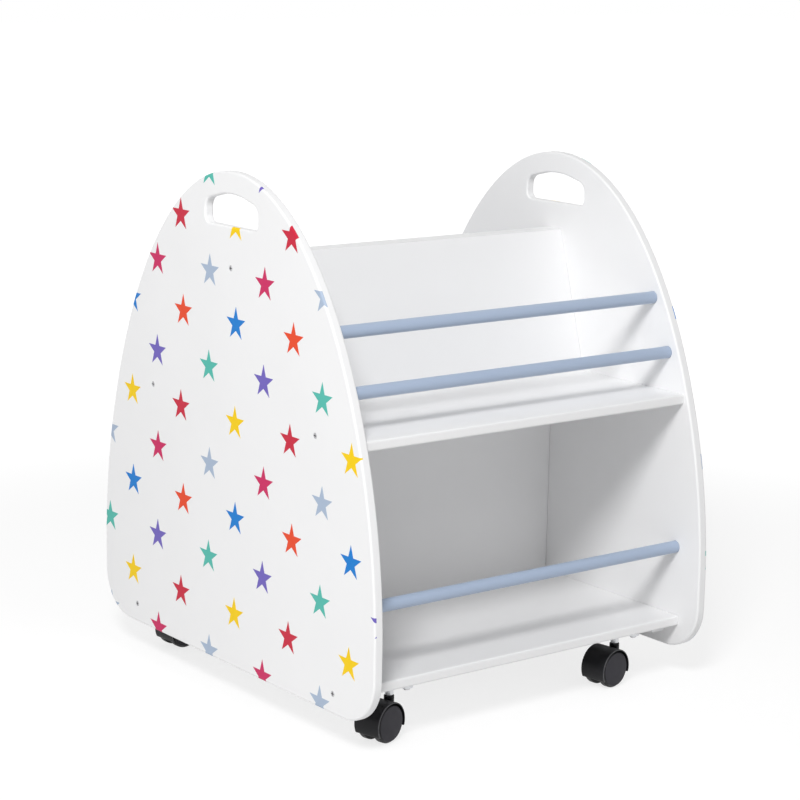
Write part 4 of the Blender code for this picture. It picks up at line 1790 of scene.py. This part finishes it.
@dataclass(frozen=True)
class SoftBox:
    """A large soft lamp."""

    name: str
    place: Place
    size: float
    watts: float
    target: Place = (0.0, 0.0, 0.3)

    def build(self) -> None:
        """Hang the lamp."""
        data = bpy.data.lights.new(self.name, "AREA")
        data.shape = "DISK"
        data.size = self.size
        data.energy = self.watts
        lamp = new_object(self.name, data)
        lamp.location = self.place
        aim = Vector(self.target) - Vector(self.place)
        lamp.rotation_euler = aim.to_track_quat("-Z", "Y").to_euler()


@dataclass(frozen=True)
class Studio:
    """White room light, soft lamps and a pale floor."""

    ambient: float = 0.35
    floor_size: float = 30.0
    floor_grey: float = 0.86
    floor_roughness: float = 0.9
    floor_glow: float = 1.16
    floor_share: float = 0.66
    shadow_reach: tuple[float, float] = (0.8, 2.0)
    lamps: tuple[SoftBox, ...] = (
        SoftBox("key_softbox", (-1.95, -1.85, 2.6), 0.9, 77.0),
        SoftBox("left_softbox", (-3.0, -0.8, 1.6), 1.6, 8.5),
    )

    @staticmethod
    def _seen(tree: NodeTree) -> bpy.types.NodeSocket:
        """Tell what is seen from what only lights.

        Args:
            tree: tree of a material or world.

        Returns:
            1 for camera, glossy and transmission rays.
        """
        path = tree.node("ShaderNodeLightPath").outputs
        mirrored = tree.maths("MAXIMUM", path["Is Glossy Ray"], path["Is Transmission Ray"])
        return tree.maths("MAXIMUM", path["Is Camera Ray"], mirrored)

    def build(self) -> None:
        """Light the room and lay the floor."""
        world = bpy.data.worlds.new("white_room")
        bpy.context.scene.world = world
        world.use_nodes = True
        tree = NodeTree(world.node_tree)
        levels = {"Value": self._seen(tree), "To Min": self.ambient, "To Max": 1.0}
        tree.fill(tree.group.nodes["Background"], {
            "Color": (1.0, 1.0, 1.0, 1.0),
            "Strength": tree.node("ShaderNodeMapRange", levels).outputs[0],
        })
        for lamp in self.lamps:
            lamp.build()
        self._floor()

    def _floor(self) -> None:
        """Pale floor that keeps a faint shadow near the bookcase and fades to white further out."""
        mesh = bpy.data.meshes.new("pale_floor")
        with edited(mesh) as work:
            bmesh.ops.create_grid(work, x_segments=1, y_segments=1, size=self.floor_size / 2)
        material, tree, shader = new_surface("pale_floor")
        grey = (*[self.floor_grey] * 3, 1.0)
        tree.fill(shader, {"Base Color": grey, "Roughness": self.floor_roughness})
        glow = tree.node("ShaderNodeEmission", {"Strength": self.floor_glow})
        place = tree.node("ShaderNodeTexCoord").outputs["Object"]
        away = tree.node("ShaderNodeVectorMath", {0: place}, operation="LENGTH")
        fade = tree.node("ShaderNodeMapRange", {
            "Value": away.outputs["Value"],
            "From Min": self.shadow_reach[0],
            "From Max": self.shadow_reach[1],
            "To Min": self.floor_share,
            "To Max": 1.0,
        }, interpolation_type="SMOOTHSTEP")
        share = tree.maths("MULTIPLY", self._seen(tree), fade.outputs[0])
        mix = tree.node("ShaderNodeMixShader", {0: share, 1: shader.outputs[0], 2: glow.outputs[0]})
        tree.fill(tree.group.nodes["Material Output"], {"Surface": mix.outputs[0]})
        mesh.materials.append(material)
        floor = new_object("pale_floor", mesh)


def main() -> None:
    """Build the whole scene."""
    logging.basicConfig(level=logging.INFO, format="%(name)s: %(message)s")
    bpy.context.scene.view_settings.view_transform = "Standard"
    Viewpoint().build()
    finishes = Finishes()
    copies = repeat_tree()
    shape = PanelShape()
    boards = Boards(shape)
    rods = GuardRods(shape)
    screws = PanelScrews(shape, boards)
    EndPanels(shape).build(finishes, rods, screws, star_tree())
    boards.build(finishes)
    rods.build(finishes, rod_tree())
    screws.build(finishes, copies)
    Castors(shape, boards).build(finishes, copies)
    Studio().build()


if __name__ == "__main__":
    main()
